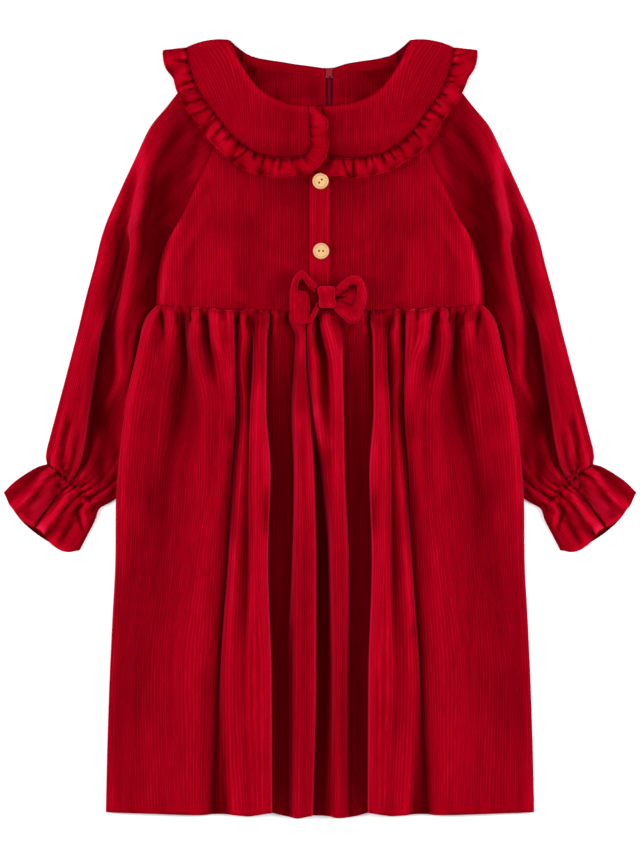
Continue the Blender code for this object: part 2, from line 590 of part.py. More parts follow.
def button(name, x, y, turn):
    """A wooden two-hole button with a raised rim, sewn to the placket."""
    mesh = bmesh.new()
    rings = []
    angles = [2 * math.pi * k / BUTTON_SIDES for k in range(BUTTON_SIDES)]
    for p in BUTTON_PROFILE:
        spots = [(p.r * math.cos(a), p.r * math.sin(a), p.z) for a in angles]
        rings.append([mesh.verts.new(spot) for spot in (spots if p.r else spots[:1])])
    for low, high in zip(rings, rings[1:]):
        for k in range(BUTTON_SIDES):
            n = (k + 1) % BUTTON_SIDES
            corners = [low[k % len(low)], low[n % len(low)], high[n % len(high)], high[k % len(high)]]
            mesh.faces.new(dict.fromkeys(corners))
    bmesh.ops.recalc_face_normals(mesh, faces=mesh.faces)
    piece = finish_piece(name, mesh, (WOOD, 0.55))
    seat = front_height(x, y) + PLY + CLOTH / 2 + GAP
    piece.location = (x * MM, y * MM, seat * MM)
    piece.rotation_euler.z = math.radians(turn)
    for way in (-1, 1):
        hole = bmesh.new()
        bmesh.ops.create_cone(hole, cap_ends=True, segments=HOLE_SIDES, radius1=HOLE_RADIUS,
                              radius2=HOLE_RADIUS, depth=HOLE_CUTTER)
        bmesh.ops.translate(hole, vec=(way * HOLE_SPREAD, 0, 0), verts=hole.verts)
        cutter = finish_piece(f"{name}_hole_{way}", hole, (WOOD, 0.55))
        cutter.parent = piece
        combine(piece, cutter, "DIFFERENCE")
    return piece


KNOT = (5.0, 121.5)     # middle of the bow
KNOT_HALF = 7.5
BOW_Z = 15.2            # middle of a loop's back layer
# Sections of a loop from the knot outward: how far out, its upper and lower edge from the
# knot's middle, and the height of the front layer over the back one.
LOOP_SECTIONS = rows(
    "out up down rise",
    (0.0, 8.0, 8.0, 4.5), (5, 12, 12, 7.0), (12, 19, 18, 9.0), (19, 23.0, 22.5, 9.5), (25.5, 20, 24, 8.0),
    (29.5, 16, 21, 5.0),
)
LOOP_END = (31.0, 13.0, 18.0)       # the fold at the loop's end: out, up, down
LOOP_RIGHT, LOOP_LEFT = 24.5, 29.5  # how far each loop reaches from the knot
LOOP_ACROSS = (-1.0, -0.5, 0.0, 0.5, 1.0)


def bow_loop(name, side, length):
    """One loop of the bow: a strip folded back on itself, both ends caught in the knot."""
    grid = []
    scale = length / LOOP_END[0]
    for v in LOOP_ACROSS:
        line = []
        back = [(s.out, s.up, s.down, 0.0) for s in LOOP_SECTIONS]
        front = [(s.out, s.up, s.down, s.rise) for s in reversed(LOOP_SECTIONS)]
        end = (*LOOP_END, LOOP_SECTIONS[-1].rise / 2)
        for out, up, down, rise in back + [end] + front:
            y = KNOT[1] + (up if v > 0 else down) * v
            x = KNOT[0] + side * (KNOT_HALF + GAP + out * scale)
            line.append((x, y, BOW_Z + rise))
        grid.append(line)
    return cloth(name, grid)


# Sections of the knot from its lower end to its upper one: where, and their share of its size.
KNOT_SECTIONS = rows(
    "y grow",
    (-11.5, 0.6), (-9.5, 0.94), (-3, 1.0), (3, 1.0), (9.5, 0.94), (11.5, 0.6),
)
KNOT_SIDES = 12
KNOT_SQUARE = 0.6       # power that makes its round sections squarer
KNOT_RISE = 8.0         # its top above the loops' back layer


def bow_knot():
    """The band round the bow's middle, down to the placket that it is sewn to."""
    low = front_height(*KNOT) + PLY + CLOTH / 2 + GAP
    high = BOW_Z + KNOT_RISE
    rings = []
    for s in KNOT_SECTIONS:
        ring = []
        for k in range(KNOT_SIDES):
            a = 2 * math.pi * (k + 0.5) / KNOT_SIDES
            out = math.copysign(abs(math.cos(a)) ** KNOT_SQUARE, math.cos(a)) * s.grow
            up = math.copysign(abs(math.sin(a)) ** KNOT_SQUARE, math.sin(a)) * s.grow
            z = (low + high) / 2 + (high - low) / 2 * up
            ring.append((KNOT[0] + KNOT_HALF * out, KNOT[1] + s.y, z))
        rings.append(ring)
    return finish_piece("bow_knot", through_rings(rings), (RED, 0.8))


# ---- back neck: facing and zip ----
FACING_EDGE = rows("x y", (8, 336.0), (22, 338.6), (40, 341.6), (55, 343.6), (64, 347.0), (72, 351.4))
FACING_EDGE_IN = 1.2    # the facing's upper edge below the neck's edge
FACING_DEPTH = 9.5
# Columns of each half, from its end at the zip to the shoulder.
FACING_COLUMNS = {
    -1: (ZIP_SLOT + GAP - ZIP_X, 10, 22, 40, 55, 64, 72),
    1: (ZIP_SLOT + GAP + ZIP_X, 18, 40, 55, 64, 72),
}


def neck_facing(name, side):
    """The band inside the back neck, from the zip to just short of the shoulder's fold."""
    grid = []
    for x in FACING_COLUMNS[side]:
        edge = follow([r.x for r in FACING_EDGE], [r.y for r in FACING_EDGE], abs(x))
        across = (edge - FACING_EDGE_IN, edge - FACING_DEPTH)
        grid.append([(side * x, y, bed(x, y) + TABLE + PLY) for y in across])
    return cloth(name, grid)


ZIP_TOP, ZIP_BOTTOM = 326.4, 118.0
ZIP_STEPS = 14
TAPE_Z = (0.1, 1.1)     # the tape's lower and upper face over the table
COIL_HALF = 1.9
COIL_Z = (1.4, 2.6)


def zip_strip(name, half, faces, look):
    """A straight strip in the back opening, following the rise of the neck."""
    low, high = faces
    rings = []
    for y in np.linspace(ZIP_BOTTOM, ZIP_TOP, ZIP_STEPS):
        rise = bed(ZIP_X, y)
        corners = ((-half, low), (half, low), (half, high), (-half, high))
        rings.append([(ZIP_X + x, y, rise + z) for x, z in corners])
    return finish_piece(name, through_rings(rings), look)


SLIDER_Y = 331.2
SLIDER_HALF_X, SLIDER_HALF_Y = 2.8, 4.0
SLIDER_UNDER, SLIDER_OVER = 0.4, 0.9    # what the block stands out of the back and of the facing
EAR_GAP, EAR = 1.5, 0.8         # half the space between the ears, and an ear's width
EAR_HALF = 1.0          # half an ear's length, and how far it reaches below the pin
EAR_SINK = 0.3          # how far it reaches into the block
PIN_Z, PIN_RADIUS = 2.0, 0.5
PIN_SIDES = 12
EYE_IN, EYE_OUT = 0.8, 1.3
EYE_ANGLES = range(150, -91, -30)       # the eye's outline, from the tab's upper face round
TAB_LENGTH, TAB_HALF, TAB = 17.0, 1.2, 1.0
METAL_LOOK = (LACQUER, 0.35, 0.4)


def box(name, low, high):
    mesh = bmesh.new()
    for v in bmesh.ops.create_cube(mesh, size=1.0)["verts"]:
        v.co = [(a + b) / 2 + c * (b - a) for a, b, c in zip(low, high, v.co)]
    return finish_piece(name, mesh, METAL_LOOK)


def zip_slider():
    """The slider at the top of the zip: a block in the opening, ears and a pin outside it."""
    floor = bed(ZIP_X, SLIDER_Y)
    low = (ZIP_X - SLIDER_HALF_X, SLIDER_Y - SLIDER_HALF_Y, floor - SLIDER_UNDER)
    high = (ZIP_X + SLIDER_HALF_X, SLIDER_Y + SLIDER_HALF_Y, floor + 2 * PLY + SLIDER_OVER)
    block = box("zip_slider", low, high)
    for side in (-1, 1):
        inner, outer = sorted((ZIP_X + side * EAR_GAP, ZIP_X + side * (EAR_GAP + EAR)))
        ear_low = (inner, SLIDER_Y - EAR_HALF, PIN_Z - EAR_HALF)
        ear_high = (outer, SLIDER_Y + EAR_HALF, floor + EAR_SINK)
        combine(block, box(f"zip_slider_ear_{side}", ear_low, ear_high), "UNION")
    pin_length = 2 * EAR_GAP + EAR
    pin = finish_piece("zip_slider_pin", rod_along_x(PIN_RADIUS, pin_length, PIN_SIDES), METAL_LOOK)
    pin.location = (ZIP_X * MM, SLIDER_Y * MM, PIN_Z * MM)
    combine(block, pin, "UNION")
    return block


def zip_pull_tab():
    """The tab that hangs from the slider's pin on the outside of the back; its origin is the pin."""
    foot = TAB - EYE_OUT
    eye = [(EYE_OUT * math.cos(math.radians(a)), EYE_OUT * math.sin(math.radians(a)))
           for a in EYE_ANGLES]
    outline = [(-TAB_LENGTH, foot), (-EYE_OUT, foot)] + eye + [(-TAB_LENGTH, -EYE_OUT)]
    rings = [[(x, y, z) for y, z in outline] for x in (-TAB_HALF, TAB_HALF)]
    tab = finish_piece("zip_pull_tab", through_rings(rings), METAL_LOOK)
    tab.location = (ZIP_X * MM, SLIDER_Y * MM, PIN_Z * MM)
    hole = rod_along_x(EYE_IN, 4 * TAB_HALF, PIN_SIDES)
    cutter = finish_piece("zip_pull_tab_eye", hole, METAL_LOOK)
    cutter.parent = tab
    combine(tab, cutter, "DIFFERENCE")
    return tab


def main():
    for old in list(bpy.data.objects):
        bpy.data.objects.remove(old)
    front_bodice()
    front_skirt()
    back_skirt()
    for side, wearer in ((-1, "right"), (1, "left")):
        back_bodice(f"back_bodice_{wearer}", side)
        sleeve(f"sleeve_{wearer}", side)
        collar(f"collar_{wearer}", side)
        frill(f"collar_frill_{wearer}", side)
        neck_facing(f"neck_facing_{wearer}", side)
    placket()
    for spot in BUTTONS:
        button(spot.name, spot.x, spot.y, spot.turn)
    bow_loop("bow_loop_right", -1, LOOP_RIGHT)
    bow_loop("bow_loop_left", 1, LOOP_LEFT)
    bow_knot()
    zip_strip("zip_tape", ZIP_SLOT - GAP, TAPE_Z, (TAPE_RED, 0.8))
    zip_strip("zip_coil", COIL_HALF, COIL_Z, (TAPE_RED, 0.5))
    zip_slider()
    zip_pull_tab()


main()
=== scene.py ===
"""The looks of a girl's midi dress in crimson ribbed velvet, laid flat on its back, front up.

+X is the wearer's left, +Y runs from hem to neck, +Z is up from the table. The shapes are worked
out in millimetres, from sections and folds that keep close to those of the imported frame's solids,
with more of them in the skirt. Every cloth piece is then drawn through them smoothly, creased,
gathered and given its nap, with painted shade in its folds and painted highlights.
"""

import math
from collections import namedtuple

import bmesh
import bpy
import numpy as np
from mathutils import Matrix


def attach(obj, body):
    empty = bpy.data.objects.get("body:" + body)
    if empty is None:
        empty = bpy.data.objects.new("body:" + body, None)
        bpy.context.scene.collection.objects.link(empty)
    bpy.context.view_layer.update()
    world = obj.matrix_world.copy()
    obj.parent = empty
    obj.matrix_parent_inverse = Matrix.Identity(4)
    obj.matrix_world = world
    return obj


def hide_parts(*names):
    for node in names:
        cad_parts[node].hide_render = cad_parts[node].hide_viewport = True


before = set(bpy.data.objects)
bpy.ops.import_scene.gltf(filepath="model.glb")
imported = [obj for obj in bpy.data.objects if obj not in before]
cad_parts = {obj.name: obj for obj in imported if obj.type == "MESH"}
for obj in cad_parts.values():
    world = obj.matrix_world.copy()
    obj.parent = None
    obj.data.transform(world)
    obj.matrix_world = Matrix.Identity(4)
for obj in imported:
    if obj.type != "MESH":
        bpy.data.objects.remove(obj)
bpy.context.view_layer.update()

MM = 0.001
DRESS = "dress"          # the body that all the cloth rides on
PULL = "pull_tab"        # the body of the zip's pull

# ---- driving sizes, in millimetres ----
CLOTH = 1.2              # thickness of the velvet
GAP = 0.3
PLY = CLOTH + GAP        # from one layer's middle to the next one's
TABLE = CLOTH / 2        # middle of a layer that lies on the table
SLEEVE_STACK = 3.5       # what the body's sides climb, over the inner edges of the sleeves
COLLAR_STACK = 4.0       # what the back of the neck climbs, over the back of the collar
BODICE_LOFT = 6.0        # middle of the bodice's front above the table
LOFT_SHARE = 0.8         # share of the climb under it that the front keeps
COLLAR_LOFT = 3.4        # collar above the front that it lies on
WAIST_Y = 114.0
WAIST_DIP = 5.5
NECK_FRONT_Y = 298.0
RAGLAN_NECK = (65.0, 324.0)
ZIP_X = 8.6
ZIP_SLOT = 2.95
NECK_BACK_Y = 336.0
FRILL_WIDTH = 17.5
PLACKET_HALF = 9.6


# ---- working out shapes ----
def rows(head, *values):
    """A table: the head names the columns, and each row of values becomes one record."""
    record = namedtuple("Row", head)
    return [record(*v) for v in values]


def strokes(*values):
    """Creases or soft bands: from a point to a point, how wide, how much, and how far they bend."""
    head = "x0 y0 x1 y1 width rise bend"
    return rows(head, *(v if len(v) == len(head.split()) else (*v, 0) for v in values))


def mirrored(lines):
    """The strokes, and their mirror images on the wearer's right."""
    return lines + [c._replace(x0=-c.x0, x1=-c.x1, bend=-c.bend) for c in lines]


def smooth(start, end, value):
    """0 before start, 1 after end, with an easy turn at both."""
    t = np.clip((value - start) / (end - start), 0.0, 1.0)
    return t * t * (3 - 2 * t)


def follow(stations, values, where):
    """A smooth line through the values at the stations that never overshoots them."""
    stations, values = np.asarray(stations, float), np.asarray(values, float)
    if stations[0] > stations[-1]:
        stations, values = stations[::-1], values[::-1]
    step = np.diff(stations).reshape((-1,) + (1,) * (values.ndim - 1))
    rise = np.diff(values, axis=0) / step
    slope = np.zeros_like(values)
    same_way = rise[:-1] * rise[1:] > 0
    both = np.where(same_way, rise[:-1] + rise[1:], 1.0)
    slope[1:-1] = np.where(same_way, 2 * rise[:-1] * rise[1:] / both, 0.0)
    slope[0], slope[-1] = rise[0], rise[-1]
    where = np.clip(where, stations[0], stations[-1])
    k = np.clip(np.searchsorted(stations, where) - 1, 0, len(step) - 1)
    t = (where - stations[k]) / step.ravel()[k]
    t = t.reshape(t.shape + (1,) * (values.ndim - 1))
    a, b, span = values[k], values[k + 1], step[k]
    if values.ndim == 1:
        span = span.ravel().reshape(np.shape(t))
    return (
        a * (1 + 2 * t) * (1 - t) ** 2
        + b * t * t * (3 - 2 * t)
        + span * t * (1 - t) * (slope[k] * (1 - t) - slope[k + 1] * t)
    )


def read(table, at, value, where):
    """One column of a table, drawn smoothly over another one of its columns."""
    return follow([getattr(r, at) for r in table], [getattr(r, value) for r in table], where)


def drawn_through(grid, rows_at, columns_at):
    """A coarse grid of points drawn through smoothly, at these rows and columns of it."""
    grid = np.asarray(grid, float)
    grid = follow(range(grid.shape[0]), grid, rows_at)
    grid = follow(range(grid.shape[1]), grid.swapaxes(0, 1), columns_at)
    return grid.swapaxes(0, 1)


def spaced(lengths, step, least=2):
    """Places along a row of stretches, numbered 0, 1, 2 and so on, about a step apart."""
    places = [np.array([0.0])]
    steps = np.broadcast_to(step, len(lengths))
    for k, length in enumerate(lengths):
        count = max(least, int(round(length / steps[k])))
        places.append(k + np.arange(1, count + 1) / count)
    return np.concatenate(places)


def crowded(start, inside, end):
    """Shares across a piece, evenly spread inside and closer together at its two ends."""
    return np.concatenate([start, np.linspace(*inside), end])


def evened(values, reach_rows, reach_columns):
    """Each value of a grid, made the mean of those within a reach of it, edges repeated."""
    for axis, reach in ((0, reach_rows), (1, reach_columns)):
        pad = [(reach + 1, reach) if k == axis else (0, 0) for k in range(values.ndim)]
        total = np.cumsum(np.pad(values, pad, mode="edge"), axis=axis)
        n = values.shape[axis]
        far = np.take(total, range(2 * reach + 1, 2 * reach + 1 + n), axis)
        values = (far - np.take(total, range(n), axis)) / (2 * reach + 1)
    return values


def lengths_of(points):
    """The lengths between points that follow each other, from their last axis of coordinates."""
    return np.linalg.norm(np.diff(points, axis=0), axis=-1)


def reached(lengths):
    """How far along a line each point lies, from the lengths between its points."""
    return np.concatenate([[0.0], np.cumsum(lengths)])


def unit(vectors):
    return vectors / np.linalg.norm(vectors, axis=-1, keepdims=True)


def arch(share):
    """0 at both ends of a share and 1 in its middle."""
    return 4 * share * (1 - share)


def swell(value, middle, width):
    """1 at the middle, fading out over a width on both sides."""
    return np.exp(-(((value - middle) / width) ** 2))


NOISE_CELLS = 97


def rumple(seed, a, b, cell_a, cell_b):
    """Soft unevenness from -1 to 1 over two coordinates, its bumps about a cell long."""
    a, b = np.broadcast_arrays(np.asarray(a, float) / cell_a, np.asarray(b, float) / cell_b)
    heights = np.random.default_rng(seed).uniform(-1, 1, (NOISE_CELLS, NOISE_CELLS))
    i, j = np.floor(a).astype(int), np.floor(b).astype(int)
    s, t = smooth(0, 1, a - i), smooth(0, 1, b - j)

    def corner(p, q):
        return heights[(i + p) % NOISE_CELLS, (j + q) % NOISE_CELLS]

    low = corner(0, 0) * (1 - s) + corner(1, 0) * s
    return low * (1 - t) + (corner(0, 1) * (1 - s) + corner(1, 1) * s) * t


def uneven(a, b, layers):
    """Soft unevenness in layers, each with a height, a seed and the length of its bumps each way."""
    return sum(high * rumple(seed, a, b, *cells) for high, seed, *cells in layers)


FADE_IN, FADE_OUT = (-0.12, 0.3), (1.12, 0.7)     # shares of a stroke over which its ends fade


def creased(x, y, lines):
    """What strokes add: each runs from its first point to its last, bends, and fades out."""
    total = np.zeros(np.shape(x))
    for c in lines:
        run_x, run_y = c.x1 - c.x0, c.y1 - c.y0
        length = math.hypot(run_x, run_y)
        along = ((x - c.x0) * run_x + (y - c.y0) * run_y) / length**2
        aside = ((x - c.x0) * run_y - (y - c.y0) * run_x) / length
        aside = aside - c.bend * arch(along)
        fade = smooth(*FADE_IN, along) * smooth(*FADE_OUT, along)
        total += c.rise * swell(aside, 0, c.width) * fade
    return total


# How unevenly the gathers at a seam are spaced, long, high and wide, as shares, and how they lean.
GATHER_PITCH, GATHER_LENGTH, GATHER_RISE = (0.55, 1.5), (0.35, 1.25), (0.45, 1.1)
GATHER_WIDTH, GATHER_LEAN = (0.8, 1.3), (-0.12, 0.12)
GATHER_SHARP, GATHER_OPENS = 0.32, 1.6


def gathered(along, away, seed, pitch, length, rise):
    """Small ridges that start at a gathered seam, uneven in spacing, length, lean and height."""
    draw = np.random.default_rng(seed)
    total = np.zeros(np.shape(along))
    at, end = float(np.min(along)), float(np.max(along))
    while at < end:
        at += pitch * draw.uniform(*GATHER_PITCH)
        reach = length * draw.uniform(*GATHER_LENGTH)
        height = rise * draw.uniform(*GATHER_RISE)
        lean = draw.uniform(*GATHER_LEAN)
        wide = pitch * GATHER_SHARP * draw.uniform(*GATHER_WIDTH) * (1 + away / (GATHER_OPENS * length))
        total += height * np.exp(-(((along - at - lean * away) / wide) ** 2) - away / reach)
    return total


# ---- what lies under the body ----
COLLAR_BED_X, COLLAR_BED_Y, COLLAR_BED_MIDDLE = 148.0, 78.0, 352.0
COLLAR_BED_END, COLLAR_BED_FOOT = 1.04, 1.32
SLEEVE_EDGE = rows(
    "y x",
    (180, 142), (150, 144), (120, 146), (90, 150), (50, 157), (8, 162), (-22, 166), (-44, 170),
    (-62, 175),
)
SLEEVE_CLIMB = (26.0, 6.0)
SLEEVE_UNDER_TOP = (222.0, 184.0)
SLEEVE_UNDER_END = (-108.0, -76.0)


def over_collar(x, y):
    """How far the cloth at the neck is lifted by the back of the collar lying under it."""
    reach = np.hypot(x / COLLAR_BED_X, (y - COLLAR_BED_MIDDLE) / COLLAR_BED_Y)
    return COLLAR_STACK * (1 - smooth(COLLAR_BED_END, COLLAR_BED_FOOT, reach))


def over_sleeve(x, y):
    """How far the body's side is lifted by the inner edge of the sleeve lying under it."""
    edge = read(SLEEVE_EDGE, "y", "x", y)
    along = smooth(*SLEEVE_UNDER_TOP, y) * smooth(*SLEEVE_UNDER_END, y)
    return SLEEVE_STACK * smooth(edge - SLEEVE_CLIMB[0], edge - SLEEVE_CLIMB[1], np.abs(x)) * along


def bed(x, y):
    """Underside of the lowest layer of the body."""
    return np.maximum(over_collar(x, y), over_sleeve(x, y))


def front_height(x, y):
    """Middle of the bodice's front, and of the sleeve's top at the raglan seam."""
    return BODICE_LOFT + LOFT_SHARE * bed(x, y)


# ---- cloth pieces, before they are sewn ----
# A pattern holds one piece as a grid of points, with what the nap needs at each point: where it
# is across and along the grain, how plain it is (1 where a turned hem hides the wales), and its
# painted shade: the share of the light painted out of it, a painted highlight where negative.
Pattern = namedtuple("Pattern", "name points across along plain shade thickness")
patterns = []


def lay(name, points, across, along, plain=0.0, shade=0.0, thickness=CLOTH):
    """Adds a piece, which stands for the solid of its own name."""
    points = np.asarray(points, float)
    shape = points.shape[:2]
    full = [np.broadcast_to(np.asarray(v, float), shape) for v in (across, along, plain, shade)]
    patterns.append(Pattern(name, points, *full, thickness))


# ---- bodice ----
BODICE_EDGE = rows(
    "y half back_half",
    (114, 152.5, 152.5), (138, 151.0, 151.0), (160, 147.0, 147.0), (180, 138.5, 138.5),
    (198, 128.2, 127.5), (222, 117.4, 115.0), (242, 107.5, 104.5), (264, 97.2, 94.3),
    (290, 84.6, 82.5), (308, 74.9, 74.6), (324, 65.0, 67.0),
)
BACK_NECK_SIDE = (59.0, 344.5)
WAIST_CURVE, NECK_CURVE = 2.0, 2.3
SIDE_SEAM = (160.0, 182.0)
SIDE_ROUND = (0.95, 1.0)            # share of the half width over which the front turns to the side
BODICE_STEP, BODICE_COLUMNS = 2.2, 128
EDGE_SPOTS = (0, 0.004, 0.009, 0.016, 0.026, 0.04)      # shares from the edge, where rows crowd
BODICE_INSIDE = 0.95
SEAM_ROLL, SEAM_DROP = 2.0, 0.8     # a sewn edge rolls down over this width, by this much
WAIST_DROP = 0.6                    # and at the waist seam by this share of it
WAIST_PUCKERS = (11, 9.0, 9.0, 0.8)
PUCKERS_START = (-0.5, 3)
BODICE_UNEVEN = ((0.45, 12, 34, 52), (0.2, 13, 9, 30))
BODICE_CREASES = strokes(
    (-74, 172, -70, 122, 7, -1.1, 2), (74, 170, 70, 120, 7, -1.0, -2), (12, 158, 52, 173, 5, 0.7, 3),
    (-16, 150, -62, 168, 6, 0.5, -3), (-96, 232, -128, 188, 6, -0.8, 3),
    (97, 230, 128, 188, 6, -0.8, -3), (-112, 196, -134, 150, 5, 0.9), (112, 196, 134, 150, 5, 0.9),
    (-44, 236, -52, 150, 16, -0.9, 4), (44, 236, 52, 150, 16, -0.9, -4),
    (-24, 128, -40, 116, 4, 0.6, 1), (40, 132, 30, 116, 4, 0.6, 1),
)
# Soft bands of painted shade, as shares of the light that they take; where the share is
# negative, they are painted highlights.
BODICE_SHADES = strokes(
    (50, 260, 70, 110, 20, 0.17), (24, 240, 30, 200, 18, 0.14), (30, 150, 30, 110, 20, 0.10),
    (16, 262, 18, 118, 24, 0.24), (52, 188, 104, 188, 17, 0.20), (65, 168, 66, 112, 10, 0.16),
    (54, 257, 53, 251, 4, -0.35), (74, 119, 74, 109, 6, 0.40), (98, 264, 93, 250, 5, -0.6),
    (150, 108, 145, 172, 6, -0.34), (141, 188, 87, 292, 4, -0.48, 3), (101, 222, 104, 176, 13, 0.10),
    (50, 246, 50, 112, 30, 0.07), (128, 120, 126, 104, 30, 0.08),
)


def bodice_lines(y, half):
    """Sections of the front at these heights and half widths, as a function of the share out."""
    up = (y - WAIST_Y) / (RAGLAN_NECK[1] - WAIST_Y)
    dip = WAIST_DIP + (RAGLAN_NECK[1] - NECK_FRONT_Y - WAIST_DIP) * up**2
    curve = WAIST_CURVE + (NECK_CURVE - WAIST_CURVE) * up

    def at(share):
        x = share * half
        down = y - dip * (1 - np.abs(share) ** curve)
        top = front_height(x, down)
        edge = bed(x, down) + TABLE + PLY
        round_off = smooth(*SIDE_ROUND, np.abs(share)) ** 2 * (1 - smooth(*SIDE_SEAM, y))
        return np.stack([x, down, top + (edge - top) * round_off], axis=-1)

    return at


def edge_rows(step):
    """Heights from waist to neck about a step apart, with the front's and back's half widths."""
    levels = [r.y for r in BODICE_EDGE]
    y = np.linspace(levels[0], levels[-1], int((levels[-1] - levels[0]) / step) + 1)
    return y, read(BODICE_EDGE, "y", "half", y), read(BODICE_EDGE, "y", "back_half", y)


def waist_seam(x):
    return WAIST_Y - WAIST_DIP * (1 - np.minimum(np.abs(x) / BODICE_EDGE[0].half, 1) ** 2)


def front_surface(x, y, z):
    """The bodice's front with its creases, puckers above the waist seam and soft unevenness."""
    up = y - waist_seam(x)
    z = z + creased(x, y, BODICE_CREASES)
    z = z + gathered(x, np.maximum(up, 0), *WAIST_PUCKERS) * smooth(*PUCKERS_START, up)
    return z + uneven(x, y, BODICE_UNEVEN)


def front_bodice():
    y, half, _ = edge_rows(BODICE_STEP)
    at = bodice_lines(y[:, None], half[:, None])
    ends = 1 - np.array(EDGE_SPOTS)
    inside = np.linspace(-BODICE_INSIDE, BODICE_INSIDE, BODICE_COLUMNS)
    points = at(np.concatenate([-ends, inside, ends[::-1]])[None, :])
    x, up = points[..., 0], points[..., 1]
    seam_side = smooth(*SIDE_SEAM, y)[:, None]
    points[..., 2] = front_surface(x, up, points[..., 2])
    points[..., 2] -= SEAM_DROP * smooth(SEAM_ROLL, 0, half[:, None] - np.abs(x)) * seam_side
    points[..., 2] -= WAIST_DROP * SEAM_DROP * smooth(SEAM_ROLL, 0, (y - y[0])[:, None])
    lay("front_bodice", points, x, up, shade=creased(x, up, mirrored(BODICE_SHADES)))


# Painted shade along the raglan seams of the back, seen inside the neck, and beside them.
BACK_SHADES = strokes(
    (-61, 350, -61, 318, 1.6, 0.5), (-67, 350, -64, 320, 4.5, 0.35), (42, 334, 53, 321, 1.6, 0.45),
    (30, 330, 40, 314, 5, 0.15), (-6, 330, -6, 300, 5, 0.2), (62, 352, 60, 330, 5, 0.3),
)
# The edge of the back neck, wearer's right to left: it dips at the zip.
NECK_EDGE = rows(
    "x y",
    (-72, 351.4), (-64, 347.3), (-58, 344.7), (-46.5, 342.7), (-35, 341.0), (-24, 339.1), (-13, 337.7),
    (-2, 336.1), (4, 335.4), (13, 335.6), (15, 336.3), (18.6, 337.5), (24, 339.3), (30, 340.5),
    (41, 342.2), (52, 343.7), (60, 345.6), (64, 347.2), (72, 351.4),
)


BACK_STEP, BACK_COLUMNS = 6.0, 48
BACK_NECK_UP, NECK_EDGE_UP = (0.93, 1.0), (0.8, 1.0)     # shares of the height that the neck shapes
UNDERARM_CATCH, UNDERARM_CATCH_Y = 2.0, (176, 184)
BACK_RIPPLE, BACK_RIPPLE_Y, BACK_RIPPLE_CELLS = 0.25, (200, 260), (12, 30)
# Painted shade over the back seen inside the neck, and more of it near the raglan seams.
BACK_SHADE, SIDE_SHADE, SIDE_SHADE_X = 0.26, 0.14, (56, 14)


def neck_edge(x):
    return read(NECK_EDGE, "x", "y", x)


def back_bodice(name, side):
    slot = ZIP_X + side * ZIP_SLOT
    y, _, half = edge_rows(BACK_STEP)
    up = (y - WAIST_Y) / (RAGLAN_NECK[1] - WAIST_Y)
    top = smooth(*BACK_NECK_UP, up)
    edge_x = half * (1 - top) + BACK_NECK_SIDE[0] * top
    caught = UNDERARM_CATCH * smooth(*UNDERARM_CATCH_Y, y)
    edge_y = (y + caught) * (1 - top) + BACK_NECK_SIDE[1] * top
    middle = WAIST_Y - WAIST_DIP + (NECK_BACK_Y - WAIST_Y + WAIST_DIP) * up
    share = np.linspace(0, 1, BACK_COLUMNS)[None, :]
    x = slot + (side * edge_x[:, None] - slot) * share
    down = middle[:, None] + (edge_y - middle)[:, None] * share**2
    down = down + (neck_edge(x) - down) * smooth(*NECK_EDGE_UP, up)[:, None]
    ripple = BACK_RIPPLE * (1 + rumple(21 + side, x, down, *BACK_RIPPLE_CELLS))
    z = bed(x, down) + TABLE + ripple * smooth(*BACK_RIPPLE_Y, down)
    shade = BACK_SHADE + SIDE_SHADE * swell(np.abs(x), *SIDE_SHADE_X) + creased(x, down, BACK_SHADES)
    lay(name, np.stack([x, down, z], axis=-1), x, down, shade=shade)


# ---- skirt ----
SKIRT_LEVELS = (104.0, 84.0, 62.0, 20.0, -40.0, -122.0, -234.0, -359.0)
SKIRT_SIDE = rows(
    "y half",
    (113, 152.5), (110, 156.0), (107, 158.6), (104, 160.8), (98, 163.6), (92, 165.4), (78, 168.2),
    (62, 171.8), (27, 179.6), (-20, 185.6),
    (-71, 189.4), (-122, 190.0), (-178, 192.8), (-234, 195.4), (-299, 197.6), (-356, 198.9),
)
